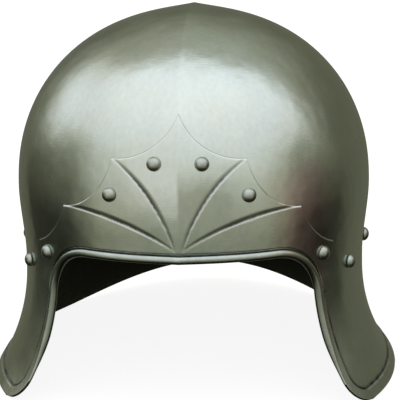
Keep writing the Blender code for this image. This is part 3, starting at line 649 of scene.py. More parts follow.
class Nodes:
    """A short way to build the nodes of a material or of the world."""

    def __init__(self, owner):
        owner.use_nodes = True
        self.owner = owner
        self.tree = owner.node_tree
        self.shader = self.tree.nodes.get("Principled BSDF")

    def add(self, kind, **settings):
        node = self.tree.nodes.new(kind)
        for key, value in settings.items():
            if key in node.inputs.keys():
                self.feed(node.inputs[key], value)
            else:
                setattr(node, key, value)
        return node

    def feed(self, socket, value):
        if isinstance(value, bpy.types.NodeSocket):
            self.tree.links.new(value, socket)
        else:
            socket.default_value = value

    @classmethod
    def material(cls, name):
        return cls(bpy.data.materials.new(name))

    def coords(self, scale=(1, 1, 1)):
        source = self.add("ShaderNodeTexCoord")
        mapping = self.add("ShaderNodeMapping", Scale=scale)
        self.feed(mapping.inputs["Vector"], source.outputs["Object"])
        return mapping.outputs[0]

    def noise(self, scale, detail=3.0, stretch=(1, 1, 1), roughness=0.5):
        node = self.add("ShaderNodeTexNoise", Scale=scale, Detail=detail, Roughness=roughness)
        self.feed(node.inputs["Vector"], self.coords(stretch))
        return node.outputs["Fac"]

    def mark(self, name):
        return self.add("ShaderNodeAttribute", attribute_name=name).outputs["Fac"]

    def math(self, operation, first, second=0.0, clamp=False):
        node = self.add("ShaderNodeMath", operation=operation, use_clamp=clamp)
        self.feed(node.inputs[0], first)
        self.feed(node.inputs[1], second)
        return node.outputs[0]

    def plus(self, first, second):
        return self.math("ADD", first, second)

    def minus(self, first, second):
        return self.math("SUBTRACT", first, second)

    def times(self, first, second, clamp=False):
        return self.math("MULTIPLY", first, second, clamp)

    def average(self, first, second, share=0.5):
        return self.plus(self.times(first, 1 - share), self.times(second, share))

    def mix(self, first, second, share):
        """Numbers blended as the plain mix() blends them, with no clamp."""
        return self.plus(first, self.times(share, self.minus(second, first)))

    def remap(self, value, low, high, to_low=0.0, to_high=1.0, smoothed=False):
        node = self.add("ShaderNodeMapRange", interpolation_type="SMOOTHSTEP" if smoothed else "LINEAR")
        for i, entry in enumerate((value, low, high, to_low, to_high)):
            self.feed(node.inputs[i], entry)
        return node.outputs[0]

    def blend(self, share, first, second, how="MIX"):
        node = self.add("ShaderNodeMix", data_type="RGBA", blend_type=how)
        self.feed(node.inputs[0], share)
        for socket, colour in ((node.inputs[6], first), (node.inputs[7], second)):
            self.feed(socket, colour if isinstance(colour, bpy.types.NodeSocket) else (*colour, 1))
        return node.outputs[2]

    def bump(self, height, strength, distance, normal=None):
        node = self.add("ShaderNodeBump", Strength=strength, Distance=distance)
        self.feed(node.inputs["Height"], height)
        if normal:
            self.feed(node.inputs["Normal"], normal)
        return node.outputs[0]

    def finish(self, **sockets):
        for key, value in sockets.items():
            self.feed(self.shader.inputs[key.replace("_", " ")], value)
        return self.owner


def shaded(colour, by):
    """A colour times one number, or times one for each channel."""
    return tuple(float(c) for c in np.array(colour) * by)


def steel(name, colour, roughness, marks=True, hammered=0.5):
    """Satin steel: faint hammering, fine rubbing marks, a warm and a cool cast, painted shade in its
    corners and grooves, and pale edges that are partly wear and partly painted highlight.
    """
    n = Nodes.material(name)
    warm, cool = shaded(colour, STEEL_WARM), shaded(colour, STEEL_COOL)
    base = n.blend(n.remap(n.noise(16, 3), 0.35, 0.65), warm, cool)
    rubs = n.noise(240, 4, (1, 1, 9))
    streaks = n.noise(60, 3, (1, 1, 0.12))
    rubbed = n.average(n.noise(420, 3, (1, 1, 0.5)), streaks)
    base = n.blend(n.remap(rubbed, 0.35, 0.65, 0.30, 0.0), base, shaded(colour, STEEL_RUBBED))
    smudged = n.average(n.noise(55, 5), streaks, 0.4)
    rough = n.remap(smudged, 0.3, 0.7, roughness - 0.04, roughness + 0.07)
    if marks:
        # Painted shade: the base darkened, in spots, where the mark says a groove or corner is.
        painted_shade = n.mark("painted_shade")
        spotted = n.times(painted_shade, n.remap(n.noise(150, 4), 0.15, 0.6, 0.35, 1.0), clamp=True)
        base = n.blend(spotted, base, PAINTED_SHADE_COLOUR)
        # Pale edges: partly real rubbing wear, partly a painted highlight line along edges and steps.
        wear_and_highlight = n.times(n.mark("wear_and_highlight"), n.remap(n.noise(90, 4), 0.3, 0.6), clamp=True)
        base = n.blend(wear_and_highlight, base, BARE_STEEL_AND_HIGHLIGHT)
        rough = n.plus(rough, n.times(spotted, 0.25))
    normal = n.bump(n.noise(38, 2), hammered * 0.35, 0.004)
    normal = n.bump(rubs, 0.10, 0.0004, normal)
    return n.finish(Base_Color=base, Metallic=1.0, Roughness=rough, Normal=normal)


def blackened(name):
    """Forge-black steel for the inside: dull, uneven and nearly black. On the sheets' rim faces it is
    painted shade, a dark line along each edge.
    """
    n = Nodes.material(name)
    base = n.blend(n.noise(60, 5), (0.006, 0.006, 0.004), (0.020, 0.021, 0.014))
    rough = n.remap(n.noise(180, 3), 0.3, 0.7, 0.55, 0.8)
    normal = n.bump(n.noise(300, 3), 0.3, 0.0006)
    return n.finish(Base_Color=base, Metallic=0.3, Roughness=rough, Normal=normal)


def leather(name, colour, pitch=420.0, stitched=False):
    """Tanned leather: pebbled grain, creases, rubbed patches and, if asked, a line of stitches."""
    n = Nodes.material(name)
    base = n.blend(n.remap(n.noise(34, 5), 0.35, 0.7), shaded(colour, 0.45), colour)
    cells = n.add("ShaderNodeTexVoronoi", Scale=pitch, feature="DISTANCE_TO_EDGE")
    n.feed(cells.inputs["Vector"], n.coords())
    grain = n.remap(cells.outputs["Distance"], 0.0, 0.25)
    creased = shaded(colour, 0.3)
    base = n.blend(n.remap(grain, 0, 1, 0.45, 0.0), base, creased)
    normal = n.bump(grain, 0.35, 0.0005)
    normal = n.bump(n.noise(70, 4), 0.4, 0.002, normal)
    if stitched:
        off_line = n.math("ABSOLUTE", n.minus(n.mark("edge_mm"), STITCH_INSET_MM))
        phase = n.math("FRACT", n.math("DIVIDE", n.mark("run_mm"), STITCH_PITCH_MM))
        off_dash = n.math("ABSOLUTE", n.minus(phase, 0.5))
        thread = n.times(n.remap(off_line, 0.25, 0.45, 1, 0), n.remap(off_dash, 0.30, 0.36, 1, 0))
        groove = n.remap(off_line, 0.3, 0.8, 1, 0)
        base = n.blend(n.times(groove, 0.5), base, creased)
        base = n.blend(thread, base, THREAD)
        height = n.minus(n.times(thread, 1.6), groove)
        normal = n.bump(height, 0.8, 0.0004, normal)
    rough = n.remap(n.noise(60, 3), 0.3, 0.7, 0.48, 0.72)
    return n.finish(Base_Color=base, Roughness=rough, Normal=normal)


def cord_material():
    """Pale twisted cord."""
    n = Nodes.material("lace_twist")
    waves = n.add("ShaderNodeTexWave", Scale=260.0, Distortion=1.2, bands_direction="DIAGONAL")
    n.feed(waves.inputs["Vector"], n.coords())
    twist = waves.outputs["Fac"]
    base = n.blend(twist, (0.20, 0.14, 0.08), (0.50, 0.41, 0.29))
    base = n.blend(n.noise(900, 2), base, (0.30, 0.23, 0.15))
    return n.finish(Base_Color=base, Roughness=0.9, Normal=n.bump(twist, 0.7, 0.0006))


# Steel pieces.


def make_skull(material, inside_material, times=4):
    """The raised sheet, from the crown to its edge, with a stepped border below the cheeks and the nape."""
    inner_rows = refine(coarse_chart(), times)
    along = np.linspace(0, EDGE.length, inner_rows.shape[1])
    insides = np.array(EDGE_ROWS_MM) / 1000
    borders = EDGE.at(along)[None] + EDGE.inward(along)[None] * insides[:, None, None]
    chart = np.concatenate([inner_rows, borders])
    lift = np.zeros(chart.shape[:2])
    lift[-len(insides):] = border_lift(along[None], insides[:, None])
    points = on_wall(chart[..., 0] / CHART_RADIUS, chart[..., 1], lift)
    points[:, 0, 0] = 0
    points[:, -1, 0] = 0
    points[0] = points[0, 0]

    inside = np.full(chart.shape[:2], MARGIN)
    inside[-len(insides):] = insides[:, None]
    on_border = smooth((along[None] - EDGE.corner_end) / ROLL_STRAIGHT_RUN)
    # Painted shade: a dark line in the border's step on the cheeks and nape, and one along the foot of the
    # roll.
    painted_shade = on_border * bell(inside - BORDER_WIDTH - BORDER_STEP * 1.6, 0.0011) * 1.1
    painted_shade = np.maximum(painted_shade, (1 - on_border) * bell(inside - ROLL_FOOT, 0.0005))
    # A pale line on the border's step and along the very edge: partly wear, partly painted highlight.
    wear_and_highlight = np.maximum(on_border * bell(inside - BORDER_WIDTH, 0.0006) * 0.5, bell(inside, 0.0006) * 0.6)
    marks = {"painted_shade": mirrored(painted_shade), "wear_and_highlight": mirrored(wear_and_highlight)}
    skull = grid_piece("skull_shell", mirrored(points), material, marks,
                       nodes=["skull"], slot="polished_steel")
    return solidify(skull, STEEL, inside_material)


def make_roll(material):
    """The edge round the face opening, turned over into a roll that thins out along the cheeks."""
    end = EDGE.corner_end + ROLL_STRAIGHT_RUN + ROLL_TAPER_RUN
    along = np.linspace(-end, end, ROLL_STEPS + 1)
    edge = EDGE.at(np.abs(along))
    angle, down = edge[:, 0] / CHART_RADIUS * np.sign(along), edge[:, 1]
    centres, normals = on_wall(angle, down, ROLL_LIFT), wall_normal(angle, down)
    tangent = unit(np.gradient(centres, axis=0))
    binormal = unit(np.cross(tangent, normals))
    normals = np.cross(binormal, tangent)
    taper = smooth((np.abs(along) - end + ROLL_TAPER_RUN) / ROLL_TAPER_RUN)
    radius = mix(ROLL_RADIUS, ROLL_END_RADIUS, taper)
    turns = np.linspace(0, 2 * pi, ROLL_SIDES + 1)[:, None, None]
    ring = normals[None] * np.cos(turns) + binormal[None] * np.sin(turns)
    points = centres[None] + ring * radius[None, :, None]
    # Painted shade: the roll darkened a quarter all round and more on the side that faces into the sheet.
    painted_shade = np.zeros(points.shape[:2]) + smooth(-np.cos(turns[..., 0]) * 2 - 0.6) * 0.4 + 0.25
    marks = {"painted_shade": painted_shade, "wear_and_highlight": np.zeros(points.shape[:2])}
    return grid_piece("face_roll", points, material, marks, slot="polished_steel")


def plate_top(x):
    """The scalloped upper edge's down, for distances round."""
    scallops = zip(PLATE_CUSPS, PLATE_CUSPS[1:], SCALLOP_SAGS)
    points = np.array([p for start, end, sag in scallops for p in sagging_arc(start, end, sag, 60)])
    return np.interp(x, points[:, 0], points[:, 1])


def plate_bottom(x):
    """The lower edge's down: beside the roll, down to the foot, then up its end."""
    turn = Vector((BROW_CORNER[0] - CHEEK_CORNER[0], BROW_CORNER[1] - CHEEK_CORNER[1]))
    half_turn = acos(abs(turn.x) / turn.length) / 2
    radius = BROW_CORNER_RADIUS + PLATE_ROLL_GAP
    inside = np.maximum(x - (BROW_CORNER[0] - BROW_CORNER_RADIUS * tan(half_turn)), 0)
    arc = BROW_DROP + BROW_CORNER_RADIUS - np.sqrt(np.maximum(radius**2 - inside**2, 0))
    down = np.minimum(PLATE_FOOT[1], np.where(inside < 0.985 * radius, arc, PLATE_FOOT[1]))
    end = PLATE_CUSPS[-1]
    closing = mix(PLATE_FOOT[1], end[1], (x - PLATE_FOOT[0]) / (end[0] - PLATE_FOOT[0]))
    return np.where(x > PLATE_FOOT[0], closing, down)


def flute_depth(x, down):
    """How deep the flutes are pressed. Each has a broad wall above and a sharp lip below."""
    depth = np.zeros_like(x)
    for cusp, bow in zip(PLATE_CUSPS[1:3], FLUTE_BOWS):
        line = np.array(sagging_arc(cusp, FLUTE_ROOT, bow, FLUTE_STEPS)[::-1])
        away = np.linalg.norm(np.stack([x, down], -1)[..., None, :] - line, axis=-1)
        nearest = away.argmin(-1)
        tangent = unit(np.gradient(line, axis=0))[nearest]
        offset = np.stack([x, down], -1) - line[nearest]
        side = -(tangent[..., 0] * offset[..., 1] - tangent[..., 1] * offset[..., 0])
        share = mix(FLUTE_TAPER, 1 - FLUTE_TAPER, nearest / FLUTE_STEPS)
        swell = np.sin(pi * share) ** FLUTE_FULLNESS
        reach = np.where(side > 0, FLUTE_WALL * swell, FLUTE_LIP)
        near = away.min(-1)
        depth = np.maximum(depth, FLUTE_DEPTH * swell * clamp(1 - near / np.maximum(reach, 1e-5)))
    return depth


def make_brow_plate(material, inside_material, columns=270, rows=90):
    """The scalloped and fluted second sheet over the brow."""
    x = np.linspace(0, PLATE_CUSPS[-1][0], columns + 1)
    t = np.linspace(0, 1, rows + 1)[:, None]
    down = mix(plate_top(x)[None], plate_bottom(x)[None], t)
    x = np.broadcast_to(x[None], down.shape)
    depth = flute_depth(x, down)
    rim = np.minimum(down - plate_top(x[0])[None], plate_bottom(x[0])[None] - down)
    rounding = PLATE_EDGE_ROUND * bell(rim, 0.0005)
    points = on_wall(x / CHART_RADIUS, down, GAP + PLATE_THICKNESS - depth - rounding)
    points[:, 0, 0] = 0
    # Painted shade darkens the flutes' grooves; the pale line along the edges is partly wear, partly
    # painted highlight.
    marks = {
        "painted_shade": mirrored(smooth(depth / FLUTE_DEPTH * 1.4 - 0.1) * 0.85),
        "wear_and_highlight": mirrored(bell(rim, 0.0007) * 0.5),
    }
    plate = grid_piece("brow_plate_sheet", mirrored(points), material, marks,
                       nodes=["brow_plate"], slot="polished_steel")
    return solidify(plate, PLATE_THICKNESS, inside_material)


def both_sides(rivets):
    """Each rivet's node and place on the left, which is +x, then on the right."""
    for base, (angle, down, stand) in rivets.items():
        yield f"{base}_left", (angle, down, stand)
        yield f"{base}_right", (-angle, down, stand)


def make_rivets(material):
    """Domed heads on plain shanks."""
    arc = [pi / 2 * i / 9 for i in range(10)]
    dome = [(max(RIVET_HEAD_RADIUS * sin(a), 1e-5), RIVET_HEAD_HEIGHT * cos(a)) for a in arc]
    profile = dome[:-1] + [(RIVET_HEAD_RADIUS, RIVET_HEAD_BEVEL), (RIVET_HEAD_RADIUS * 0.98, 0.0)]
    profile += [(RIVET_SHANK_RADIUS, 0.0), (RIVET_SHANK_RADIUS, -RIVET_SHANK_LENGTH)]
    for node, (angle, down, stand) in both_sides(RIVETS):
        place = frame_on_wall(angle, down, stand)
        lathe(f"{node}_head", profile, place, material, nodes=[node], slot="rivet_steel")


def make_washers(material):
    """The washers inside: under each rivet that holds leather."""
    inner, outer, depth, bevel = RIVET_SHANK_RADIUS + GAP, WASHER_RADIUS, -WASHER_THICKNESS, WASHER_BEVEL
    profile = [(inner, 0), (outer - bevel, 0), (outer, -bevel), (outer, depth + bevel)]
    profile += [(outer - bevel, depth), (inner, depth), (inner, 0)]
    for node, (angle, down, _) in both_sides(RIVETS):
        if not node.startswith("brow"):
            node = node.replace("rivet", "washer")
            under = STRAP_CLEARANCE + LEATHER if node.startswith("strap") else 0
            place = frame_on_wall(angle, down, -(BAND_DEPTH + TAIL_GAP) - under)
            lathe(f"{node}_disc", profile, place, material, nodes=[node], slot="rivet_steel")


# Lining.


def stitch_marks(edge, run):
    """What stitched leather reads: how far in from its edge, and how far along its line of stitches."""
    return {"edge_mm": edge * 1000, "run_mm": (run + np.zeros_like(edge)) * 1000}


def band_down(angle):
    share = smooth((np.abs(angle) - BAND_BROW_ANGLE) / (BAND_SIDE_ANGLE - BAND_BROW_ANGLE))
    return mix(BAND_BROW_DOWN, BAND_SIDE_DOWN, share)


def make_lining_band(material):
    """The leather band that the rivets clamp, stitched along both edges and joined at the nape."""
    angle = np.linspace(-pi, pi, BAND_STEPS + 1)[:, None]
    share = near_edges(9, 2 * BAND_HALF_WIDTH)[None]
    down = band_down(angle) + mix(-BAND_HALF_WIDTH, BAND_HALF_WIDTH, share)
    angle, down = np.broadcast_arrays(angle, down)
    edge = np.minimum(share, 1 - share) * 2 * BAND_HALF_WIDTH + np.zeros_like(angle)
    middle = on_wall(angle, down, -(STEEL + BAND_GAP + LEATHER / 2))
    marks = stitch_marks(edge, run_along(middle[:, middle.shape[1] // 2])[:, None])
    half = LEATHER / 2 * edge_swell(edge)
    slab("lining_band_leather", middle, wall_normal(angle, down), half, material, marks,
         nodes=["lining_band"], slot="lining_leather")


def tongue_place(angle, share):
    """(down, lift) along a tongue: share 0 is where it is sewn to the band and 1 is its tip."""
    foot = band_down(angle) - BAND_HALF_WIDTH + TONGUE_LAP
    air = TONGUE_AIR * smooth((share - TONGUE_AIR_FROM) / TONGUE_AIR_RUN)
    return mix(foot, TONGUE_TIP_DOWN, share), -(BAND_DEPTH + GAP + air)


def lace_line():
    """(down, lift) of the lace's middle, where it passes the tongues."""
    return TONGUE_TIP_DOWN + LACE_INSET, tongue_place(radians(100), 0.93)[1] - TONGUE_THICKNESS / 2


def make_tongue(index, material):
    """One leather tongue, sewn to the band at its foot and gathered by the lace near the crown."""
    middle_angle = 2 * pi * (index + 0.5) / TONGUE_COUNT
    middle_angle -= 2 * pi if middle_angle > pi else 0
    length, width = TONGUE_LENGTH, 2 * TONGUE_BASE_HALF_ANGLE * CHART_RADIUS
    share, across = near_edges(36, length)[:, None], near_edges(14, width)[None]
    angle = middle_angle + mix(TONGUE_BASE_HALF_ANGLE, TONGUE_TIP_HALF_ANGLE, share) * (2 * across - 1)
    down, lift = tongue_place(middle_angle, share)
    down = mix(tongue_place(angle, share)[0], down, clamp(share / TONGUE_FOOT_SHARE))
    lift = np.broadcast_to(lift, angle.shape)
    middle = on_wall(angle, down, lift - TONGUE_THICKNESS / 2, keel=0)
    narrowed = np.sin(pi / 2 * clamp(1 + down / CROWN_ARC))
    side = np.minimum(across, 1 - across) * width * np.maximum(narrowed, 0.2)
    side, end = np.broadcast_arrays(side, np.minimum(share, 1 - share) * length)
    edge = np.minimum(side, end)
    half = TONGUE_THICKNESS / 2 * edge_swell(edge)
    marks = stitch_marks(edge, np.where(side < end, end, side + across * width))
    name = f"lining_tongue_{index + 1}"
    tongue = slab(f"{name}_leather", middle, wall_normal(angle, down, keel=0), half, material, marks,
                  nodes=[name], slot="lining_leather")
    down, lift = lace_line()
    holes = []
    for turn in (-1, 1):
        place = frame_on_wall(middle_angle + turn * pi / TONGUE_COUNT / 2, down, lift)
        holes.append(drill(place, LACE_HOLE_RADIUS, LACE_HOLE_DEPTH))
    return cut(tongue, holes)


def make_lace(material):
    """Two strands twisted together, woven in and out of the tongues and tied into a ring."""
    down, lift = lace_line()
    angle = np.linspace(0, 2 * pi, LACE_STEPS + 1)[:-1]
    weave = LACE_SWING * np.cos(TONGUE_COUNT * angle)
    centres = on_wall(angle, np.full_like(angle, down), lift - weave, keel=0)
    steps = np.linalg.norm(np.roll(centres, -1, 0) - centres, axis=1)
    run = np.concatenate([[0], np.cumsum(steps)[:-1]])
    turns = round(steps.sum() / LACE_PITCH)
    outward = wall_normal(angle, np.full_like(angle, down), keel=0)
    tangent = ring_tangent(centres)
    up = unit(np.cross(tangent, outward))
    outward = np.cross(up, tangent)
    for strand in (0, 1):
        twist = (2 * pi * turns * run / steps.sum() + pi * strand)[:, None]
        line = centres + (outward * np.cos(twist) + up * np.sin(twist)) * LACE_STRAND_OFFSET
        where = {"nodes": ["lining_lace"]} if strand == 0 else {}
        tube(f"lining_lace_strand_{strand}", line, LACE_STRAND_RADIUS, material, 8, closed=True,
             slot="lace_cord", **where)


# Chin strap.


def strap_lift(angle):
    ease = STRAP_EASE * smooth((np.abs(angle) - STRAP_ANGLE) / STRAP_EASE_ANGLE)
    return -(BAND_DEPTH + STRAP_CLEARANCE + ease)


def strap_frame(angle):
    """A strap's outer face at those angles, and the ways along it, down across it and inwards."""
    angle = np.asarray(angle, float)
    turn = np.sign(angle)[..., None]
    down = STRAP_DOWN
    point = on_wall(angle, down, strap_lift(angle))
    beyond = angle + turn[..., 0] * 0.01
    along = unit(on_wall(beyond, down, strap_lift(beyond)) - point)
    across = unit(np.cross(along, -wall_normal(angle, down))) * turn
    return point, along, across, unit(np.cross(across, along)) * turn


def strap_slab(name, points, across, inwards, half_width, material, node, body):
    """A leather strap from the outer face's line, the way across it and the way to its inner face."""
    share = near_edges(7, 2 * STRAP_HALF_WIDTH)
    offset = (2 * share - 1)[None, :] * half_width[:, None]
    middle = points[:, None] + across[:, None] * offset[..., None] + inwards[:, None] * LEATHER / 2
    run = run_along(points)
    edge = np.minimum(share, 1 - share)[None] * 2 * half_width[:, None]
    end = np.minimum(run, run[-1] - run)[:, None] + np.zeros_like(edge)
    half = LEATHER / 2 * edge_swell(np.minimum(edge, end))
    marks = stitch_marks(edge, run[:, None])
    normal = np.broadcast_to(inwards[:, None], middle.shape)
    return slab(name, middle, normal, half, material, marks, body=body, nodes=[node], slot="strap_leather")


def bunched(count, share):
    """Shares from 0 to 1, closer together over the first part, where a strap's end is round."""
    even = np.linspace(0, 1, count)
    return np.where(even > share, even, share * (even / share) ** 1.6)


def nose_width(angle, start):
    """A strap's half width where its end is rounded, starting at that angle."""
    share = clamp((angle - start) / STRAP_NOSE_ANGLE)
    return STRAP_HALF_WIDTH * np.sqrt(1 - (1 - share) ** 2)


def rivet_hole(side):
    place = frame_on_wall(STRAP_ANGLE * side, STRAP_DOWN)
    return drill(place, RIVET_HOLE_RADIUS, RIVET_HOLE_DEPTH)


def make_long_strap(material):
    """The half with the buckle holes, on the wearer's right, with a rounded end and a pointed tip."""
    start = STRAP_ANGLE - STRAP_NOSE_ANGLE
    end = STRAP_ANGLE + STRAP_LONG_SPAN
    angle = mix(start, end, bunched(120, 0.12))
    point, _, across, inwards = strap_frame(-angle)
    pointed = np.sqrt(clamp((end - angle) / STRAP_TIP_ANGLE))
    width = np.maximum(nose_width(angle, start) * pointed, STRAP_LEAST_WIDTH)
    strap = strap_slab("chin_strap_right_leather", point, across, inwards, width, material,
                       "chin_strap_right", "strap_right")
    holes = [rivet_hole(-1)]
    for i in range(STRAP_HOLES):
        angle = end - STRAP_FIRST_HOLE - i * STRAP_HOLE_STEP
        place = frame_on_wall(-angle, STRAP_DOWN, float(strap_lift(angle)))
        holes.append(drill(place, STRAP_HOLE_RADIUS, STRAP_HOLE_DEPTH, 16))
    return cut(strap, holes)


def buckle_place():
    """The buckle's own frame: its bar on the Y axis, its length along X, and Z pointing into the helmet."""
    point, along, across, inwards = strap_frame(STRAP_ANGLE + STRAP_SHORT_SPAN)
    place = Matrix((along, across, inwards)).transposed().to_4x4()
    place.translation = Vector(point + inwards * (BUCKLE_WIRE + GAP + LEATHER))
    return place


def make_short_strap(material):
    """The half with the buckle, on the wearer's left: folded round the buckle's bar and riveted back."""
    start = STRAP_ANGLE - STRAP_NOSE_ANGLE
    end = STRAP_ANGLE + STRAP_SHORT_SPAN
    angle = mix(start, end, bunched(60, 0.2))
    points, _, across, inwards = strap_frame(angle)
    width = np.maximum(nose_width(angle, start), STRAP_LEAST_WIDTH)

    place = np.array(buckle_place())
    radius = BUCKLE_WIRE + GAP + LEATHER
    turn = pi * np.arange(1, 19)[:, None] / 18
    loop = place[:3, 3] + radius * (place[:3, 0] * np.sin(turn) - place[:3, 2] * np.cos(turn))
    to_bar = unit(place[:3, 3] - loop)

    share = np.linspace(0.08, 1, 14)
    back, _, back_across, back_in = strap_frame(end - share * STRAP_FOLD / STRAP_RADIUS)
    height = mix(2 * radius, 2 * LEATHER + GAP, smooth(share / 0.5))
    back = back + back_in * height[:, None]

    points = np.concatenate([points, loop, back])
    across = np.concatenate([across, np.broadcast_to(place[:3, 1], loop.shape), back_across])
    inwards = np.concatenate([inwards, to_bar, -back_in])
    width = np.concatenate([width, np.full(len(loop) + len(back), STRAP_HALF_WIDTH)])
    strap = strap_slab("chin_strap_left_leather", points, across, inwards, width, material,
                       "chin_strap_left", "strap_left")
    return cut(strap, [rivet_hole(1), prong_slot()])


def prong_slot():
    """The points and faces of the block that opens the fold for the prong."""
    place = buckle_place() @ Matrix.Translation((PRONG_SLOT_SHIFT, 0, 0))
    signs = [(x, y, z) for x in (-0.5, 0.5) for y in (-0.5, 0.5) for z in (-0.5, 0.5)]
    points = [place @ Vector(s * size for s, size in zip(sign, PRONG_SLOT)) for sign in signs]
    return points, [(0, 1, 3, 2), (4, 6, 7, 5), (0, 4, 5, 1), (2, 3, 7, 6), (0, 2, 6, 4), (1, 5, 7, 3)]


def rounded_loop(half_width, low, high, radius, steps=7):
    """(y, z) points and outward normals round a rounded rectangle, ending where they start."""
    corners = [(half_width, high, 0), (-half_width, high, 1), (-half_width, low, 2), (half_width, low, 3)]
    points, normals = [], []
    for y, z, quarter in corners:
        for i in range(steps + 1):
            a = pi / 2 * (quarter + i / steps)
            normals.append((cos(a), sin(a)))
            centre = (y - radius * np.sign(y), z - radius if z == high else z + radius)
            points.append((centre[0] + radius * cos(a), centre[1] + radius * sin(a)))
    return np.array(points + points[:1]), np.array(normals + normals[:1])


def make_keeper(material):
    """The leather loop that holds the other half's tip."""
    point, along, across, inwards = strap_frame(STRAP_ANGLE + STRAP_SHORT_SPAN * KEEPER_PLACE)
    path, normals = rounded_loop(STRAP_HALF_WIDTH + GAP, -GAP, 2 * LEATHER + 2 * GAP, KEEPER_CORNER)
    path = path + normals * KEEPER_THICKNESS / 2
    share = near_edges(5, KEEPER_WIDTH)
    middle = point + across * path[:, None, :1] + inwards * path[:, None, 1:]
    middle = middle + along * ((share - 0.5) * KEEPER_WIDTH)[None, :, None]
    normal = across * normals[:, None, :1] + inwards * normals[:, None, 1:] + np.zeros_like(middle)
    edge = np.minimum(share, 1 - share)[None] * KEEPER_WIDTH + np.zeros(middle.shape[:2])
    slab("strap_keeper_loop", middle, normal, KEEPER_THICKNESS / 2 * edge_swell(edge), material,
         body="strap_left", nodes=["strap_keeper"], slot="strap_leather")


def make_buckle(material):
    """A wire frame with rounded corners, and its prong."""
    place = buckle_place()
    half, length, corner = BUCKLE_HALF_WIDTH, BUCKLE_LENGTH, BUCKLE_CORNER
    outline = []
    for x, reach, quarter in ((length - corner, corner, 0), (corner * 0.5, corner * 0.5, 1)):
        for i in range(9):
            a = pi / 2 * (quarter + i / 8)
            outline.append((x + reach * cos(a), half - corner + corner * sin(a)))
    outline += [(x, -y) for x, y in reversed(outline)]
    wire = np.array([place @ Vector((x, y, 0)) for x, y in outline])
    tube("buckle_frame_wire", wire, BUCKLE_WIRE, material, closed=True, body="buckle",
         nodes=["buckle_frame"], slot="rivet_steel")

    ring = BUCKLE_WIRE + GAP + PRONG_RADIUS
    angles = np.linspace(2 * pi - PRONG_OPENING, PRONG_OPENING, 25)
    line = [(ring * cos(a), ring * sin(a)) for a in angles]
    line += [(x, ring) for x in (0.004, 0.008, 0.012, 0.016, length, length + PRONG_PAST)]
    taper = [1.0] * (len(line) - 2) + [0.85, 0.55]
    wire = np.array([place @ Vector((x, 0, z)) for x, z in line])
    tube("buckle_prong_wire", wire, PRONG_RADIUS * np.array(taper), material, body="prong",
         nodes=["buckle_prong"], slot="rivet_steel")


def make_fold_rivet(material):
    """The small rivet that closes the fold."""
    angle = STRAP_ANGLE + STRAP_SHORT_SPAN - FOLD_RIVET_INSET / STRAP_RADIUS
    point, along, across, inwards = strap_frame(angle)
    place = Matrix((along, across, inwards)).transposed().to_4x4()
    place.translation = Vector(point + inwards * (2 * LEATHER + 2 * GAP))
    head, shank, foot = FOLD_RIVET_HEAD, FOLD_RIVET_SHANK, -2 * LEATHER - 3 * GAP
    arc = [pi / 2 * i / 8 for i in range(9)]
    dome = [(max(head * sin(a), 1e-5), FOLD_RIVET_RISE * cos(a)) for a in arc]
    head *= FOLD_RIVET_TAIL
    tail = [(shank, 0), (shank, foot), (head, foot), (head, foot - 0.0004), (1e-5, foot - 0.0006)]
    lathe("strap_fold_rivet_head", dome + tail, place, material, 24, body="strap_left",
          nodes=["strap_fold_rivet"], slot="rivet_steel")


# Stage.


def make_floor():
    """White paper, lit through from below so that it meets the white background."""
    n = Nodes.material("floor_paper")
    base = n.blend(n.noise(3, 2), (0.22, 0.22, 0.22), (0.24, 0.24, 0.239))
    glow = {"Emission_Color": (1, 1, 1, 1), "Emission_Strength": FLOOR_GLOW}
    corners = [(-FLOOR_HALF, -FLOOR_HALF, 0), (FLOOR_HALF, -FLOOR_HALF, 0)]
    corners += [(-x, -y, z) for x, y, z in corners]
    mesh = new_mesh("floor", corners, [(0, 1, 2, 3)])
    mesh.materials.append(n.finish(Base_Color=base, Roughness=0.9, **glow))
    floor = add_object("floor", mesh)
    floor.visible_glossy = False
    floor.visible_diffuse = False


def soft_patch(n, direction, centre, radius):
    """1 in the middle of a round patch of the surroundings, fading to 0 at its radius."""
    x, y, z = (n.times(part, at) for part, at in zip(direction, Vector(centre).normalized()))
    return n.remap(n.plus(n.plus(x, y), z), cos(radians(radius)), 1.0, smoothed=True)


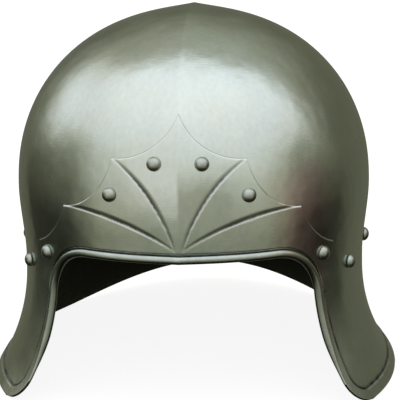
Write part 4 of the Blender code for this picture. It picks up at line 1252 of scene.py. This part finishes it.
def make_light():
    """A studio: a broad soft tent over the front, dim behind and dark low at both sides."""
    world = bpy.data.worlds.new("studio")
    bpy.context.scene.world = world
    n = Nodes(world)
    direction = n.add("ShaderNodeTexCoord").outputs["Generated"]
    x, y, z = n.add("ShaderNodeSeparateXYZ", Vector=direction).outputs

    tent = n.math("MAXIMUM", n.plus(n.times(z, TENT_SLOPE), TENT_LEVEL), TENT_LEAST)
    side_share = n.plus(n.remap(z, *LOW_SIDE_RAMP), n.remap(z, *HIGH_SIDE_RAMP, smoothed=True))
    tent = n.times(tent, n.mix(1.0, side_share, n.remap(y, *SIDE_RAMP, smoothed=True)))
    left = n.remap(x, *LEFT_RAMP, smoothed=True)
    shift = n.plus(n.remap(z, *SHIFT_RAMP), n.times(left, n.remap(z, *LEFT_SHIFT_RAMP)))
    front = n.remap(n.minus(y, shift), *FRONT_RAMP, smoothed=True)
    rear = n.plus(n.remap(z, *REAR_RAMP, smoothed=True), n.times(left, n.remap(z, *LEFT_REAR_RAMP)))
    level = n.mix(rear, tent, front)
    for centre, radius, patch_level in PATCHES:
        level = n.mix(level, patch_level, soft_patch(n, (x, y, z), centre, radius))

    tint = n.blend(n.remap(level, 0.1, 1.1), SHADE_TINT, LIGHT_TINT)
    tint = n.blend(soft_patch(n, (x, y, z), *WARM_PATCH), tint, WARM_TINT)
    grey = n.add("ShaderNodeCombineColor", Red=level, Green=level, Blue=level).outputs[0]
    colour = n.blend(1.0, tint, grey, "MULTIPLY")
    seen = n.add("ShaderNodeLightPath").outputs["Is Camera Ray"]
    n.feed(n.tree.nodes["Background"].inputs["Color"], n.blend(seen, colour, (1.0, 1.0, 1.0)))


def make_camera():
    """A long lens a little right of the front and above, aimed at the level frame's origin."""
    data = bpy.data.cameras.new("camera")
    camera = add_object("camera", data)
    bpy.context.scene.camera = camera
    flat = cos(CAMERA_ELEVATION)
    back = Vector((sin(CAMERA_AZIMUTH) * flat, -cos(CAMERA_AZIMUTH) * flat, sin(CAMERA_ELEVATION)))
    camera.location = LEVEL.translation + back * CAMERA_DISTANCE
    facing = back.to_track_quat("Z", "Y").to_matrix() @ Matrix.Rotation(CAMERA_ROLL, 3, "Z")
    camera.rotation_euler = facing.to_euler()
    data.sensor_width = SENSOR_WIDTH
    data.lens = SENSOR_WIDTH * CAMERA_DISTANCE / VIEW_WIDTH
    data.shift_x, data.shift_y = CAMERA_SHIFT


def build():
    polished = steel("satin_steel", SATIN_STEEL, 0.22)
    rivet_steel = steel("rivet_steel", RIVET_STEEL, 0.27, marks=False, hammered=0.2)
    inside = blackened("forge_black_steel_and_edge_shade")
    make_skull(polished, inside)
    make_roll(polished)
    make_brow_plate(polished, inside)
    make_rivets(rivet_steel)
    make_washers(rivet_steel)
    lining = leather("lining_leather", LINING_BROWN, stitched=True)
    make_lining_band(lining)
    for index in range(TONGUE_COUNT):
        make_tongue(index, lining)
    make_lace(cord_material())
    strap = leather("strap_leather", STRAP_BROWN, 520, stitched=True)
    make_long_strap(strap)
    make_short_strap(strap)
    make_keeper(strap)
    make_buckle(rivet_steel)
    make_fold_rivet(rivet_steel)


build()
make_floor()
make_light()
make_camera()
bpy.context.scene.view_settings.view_transform = "Standard"
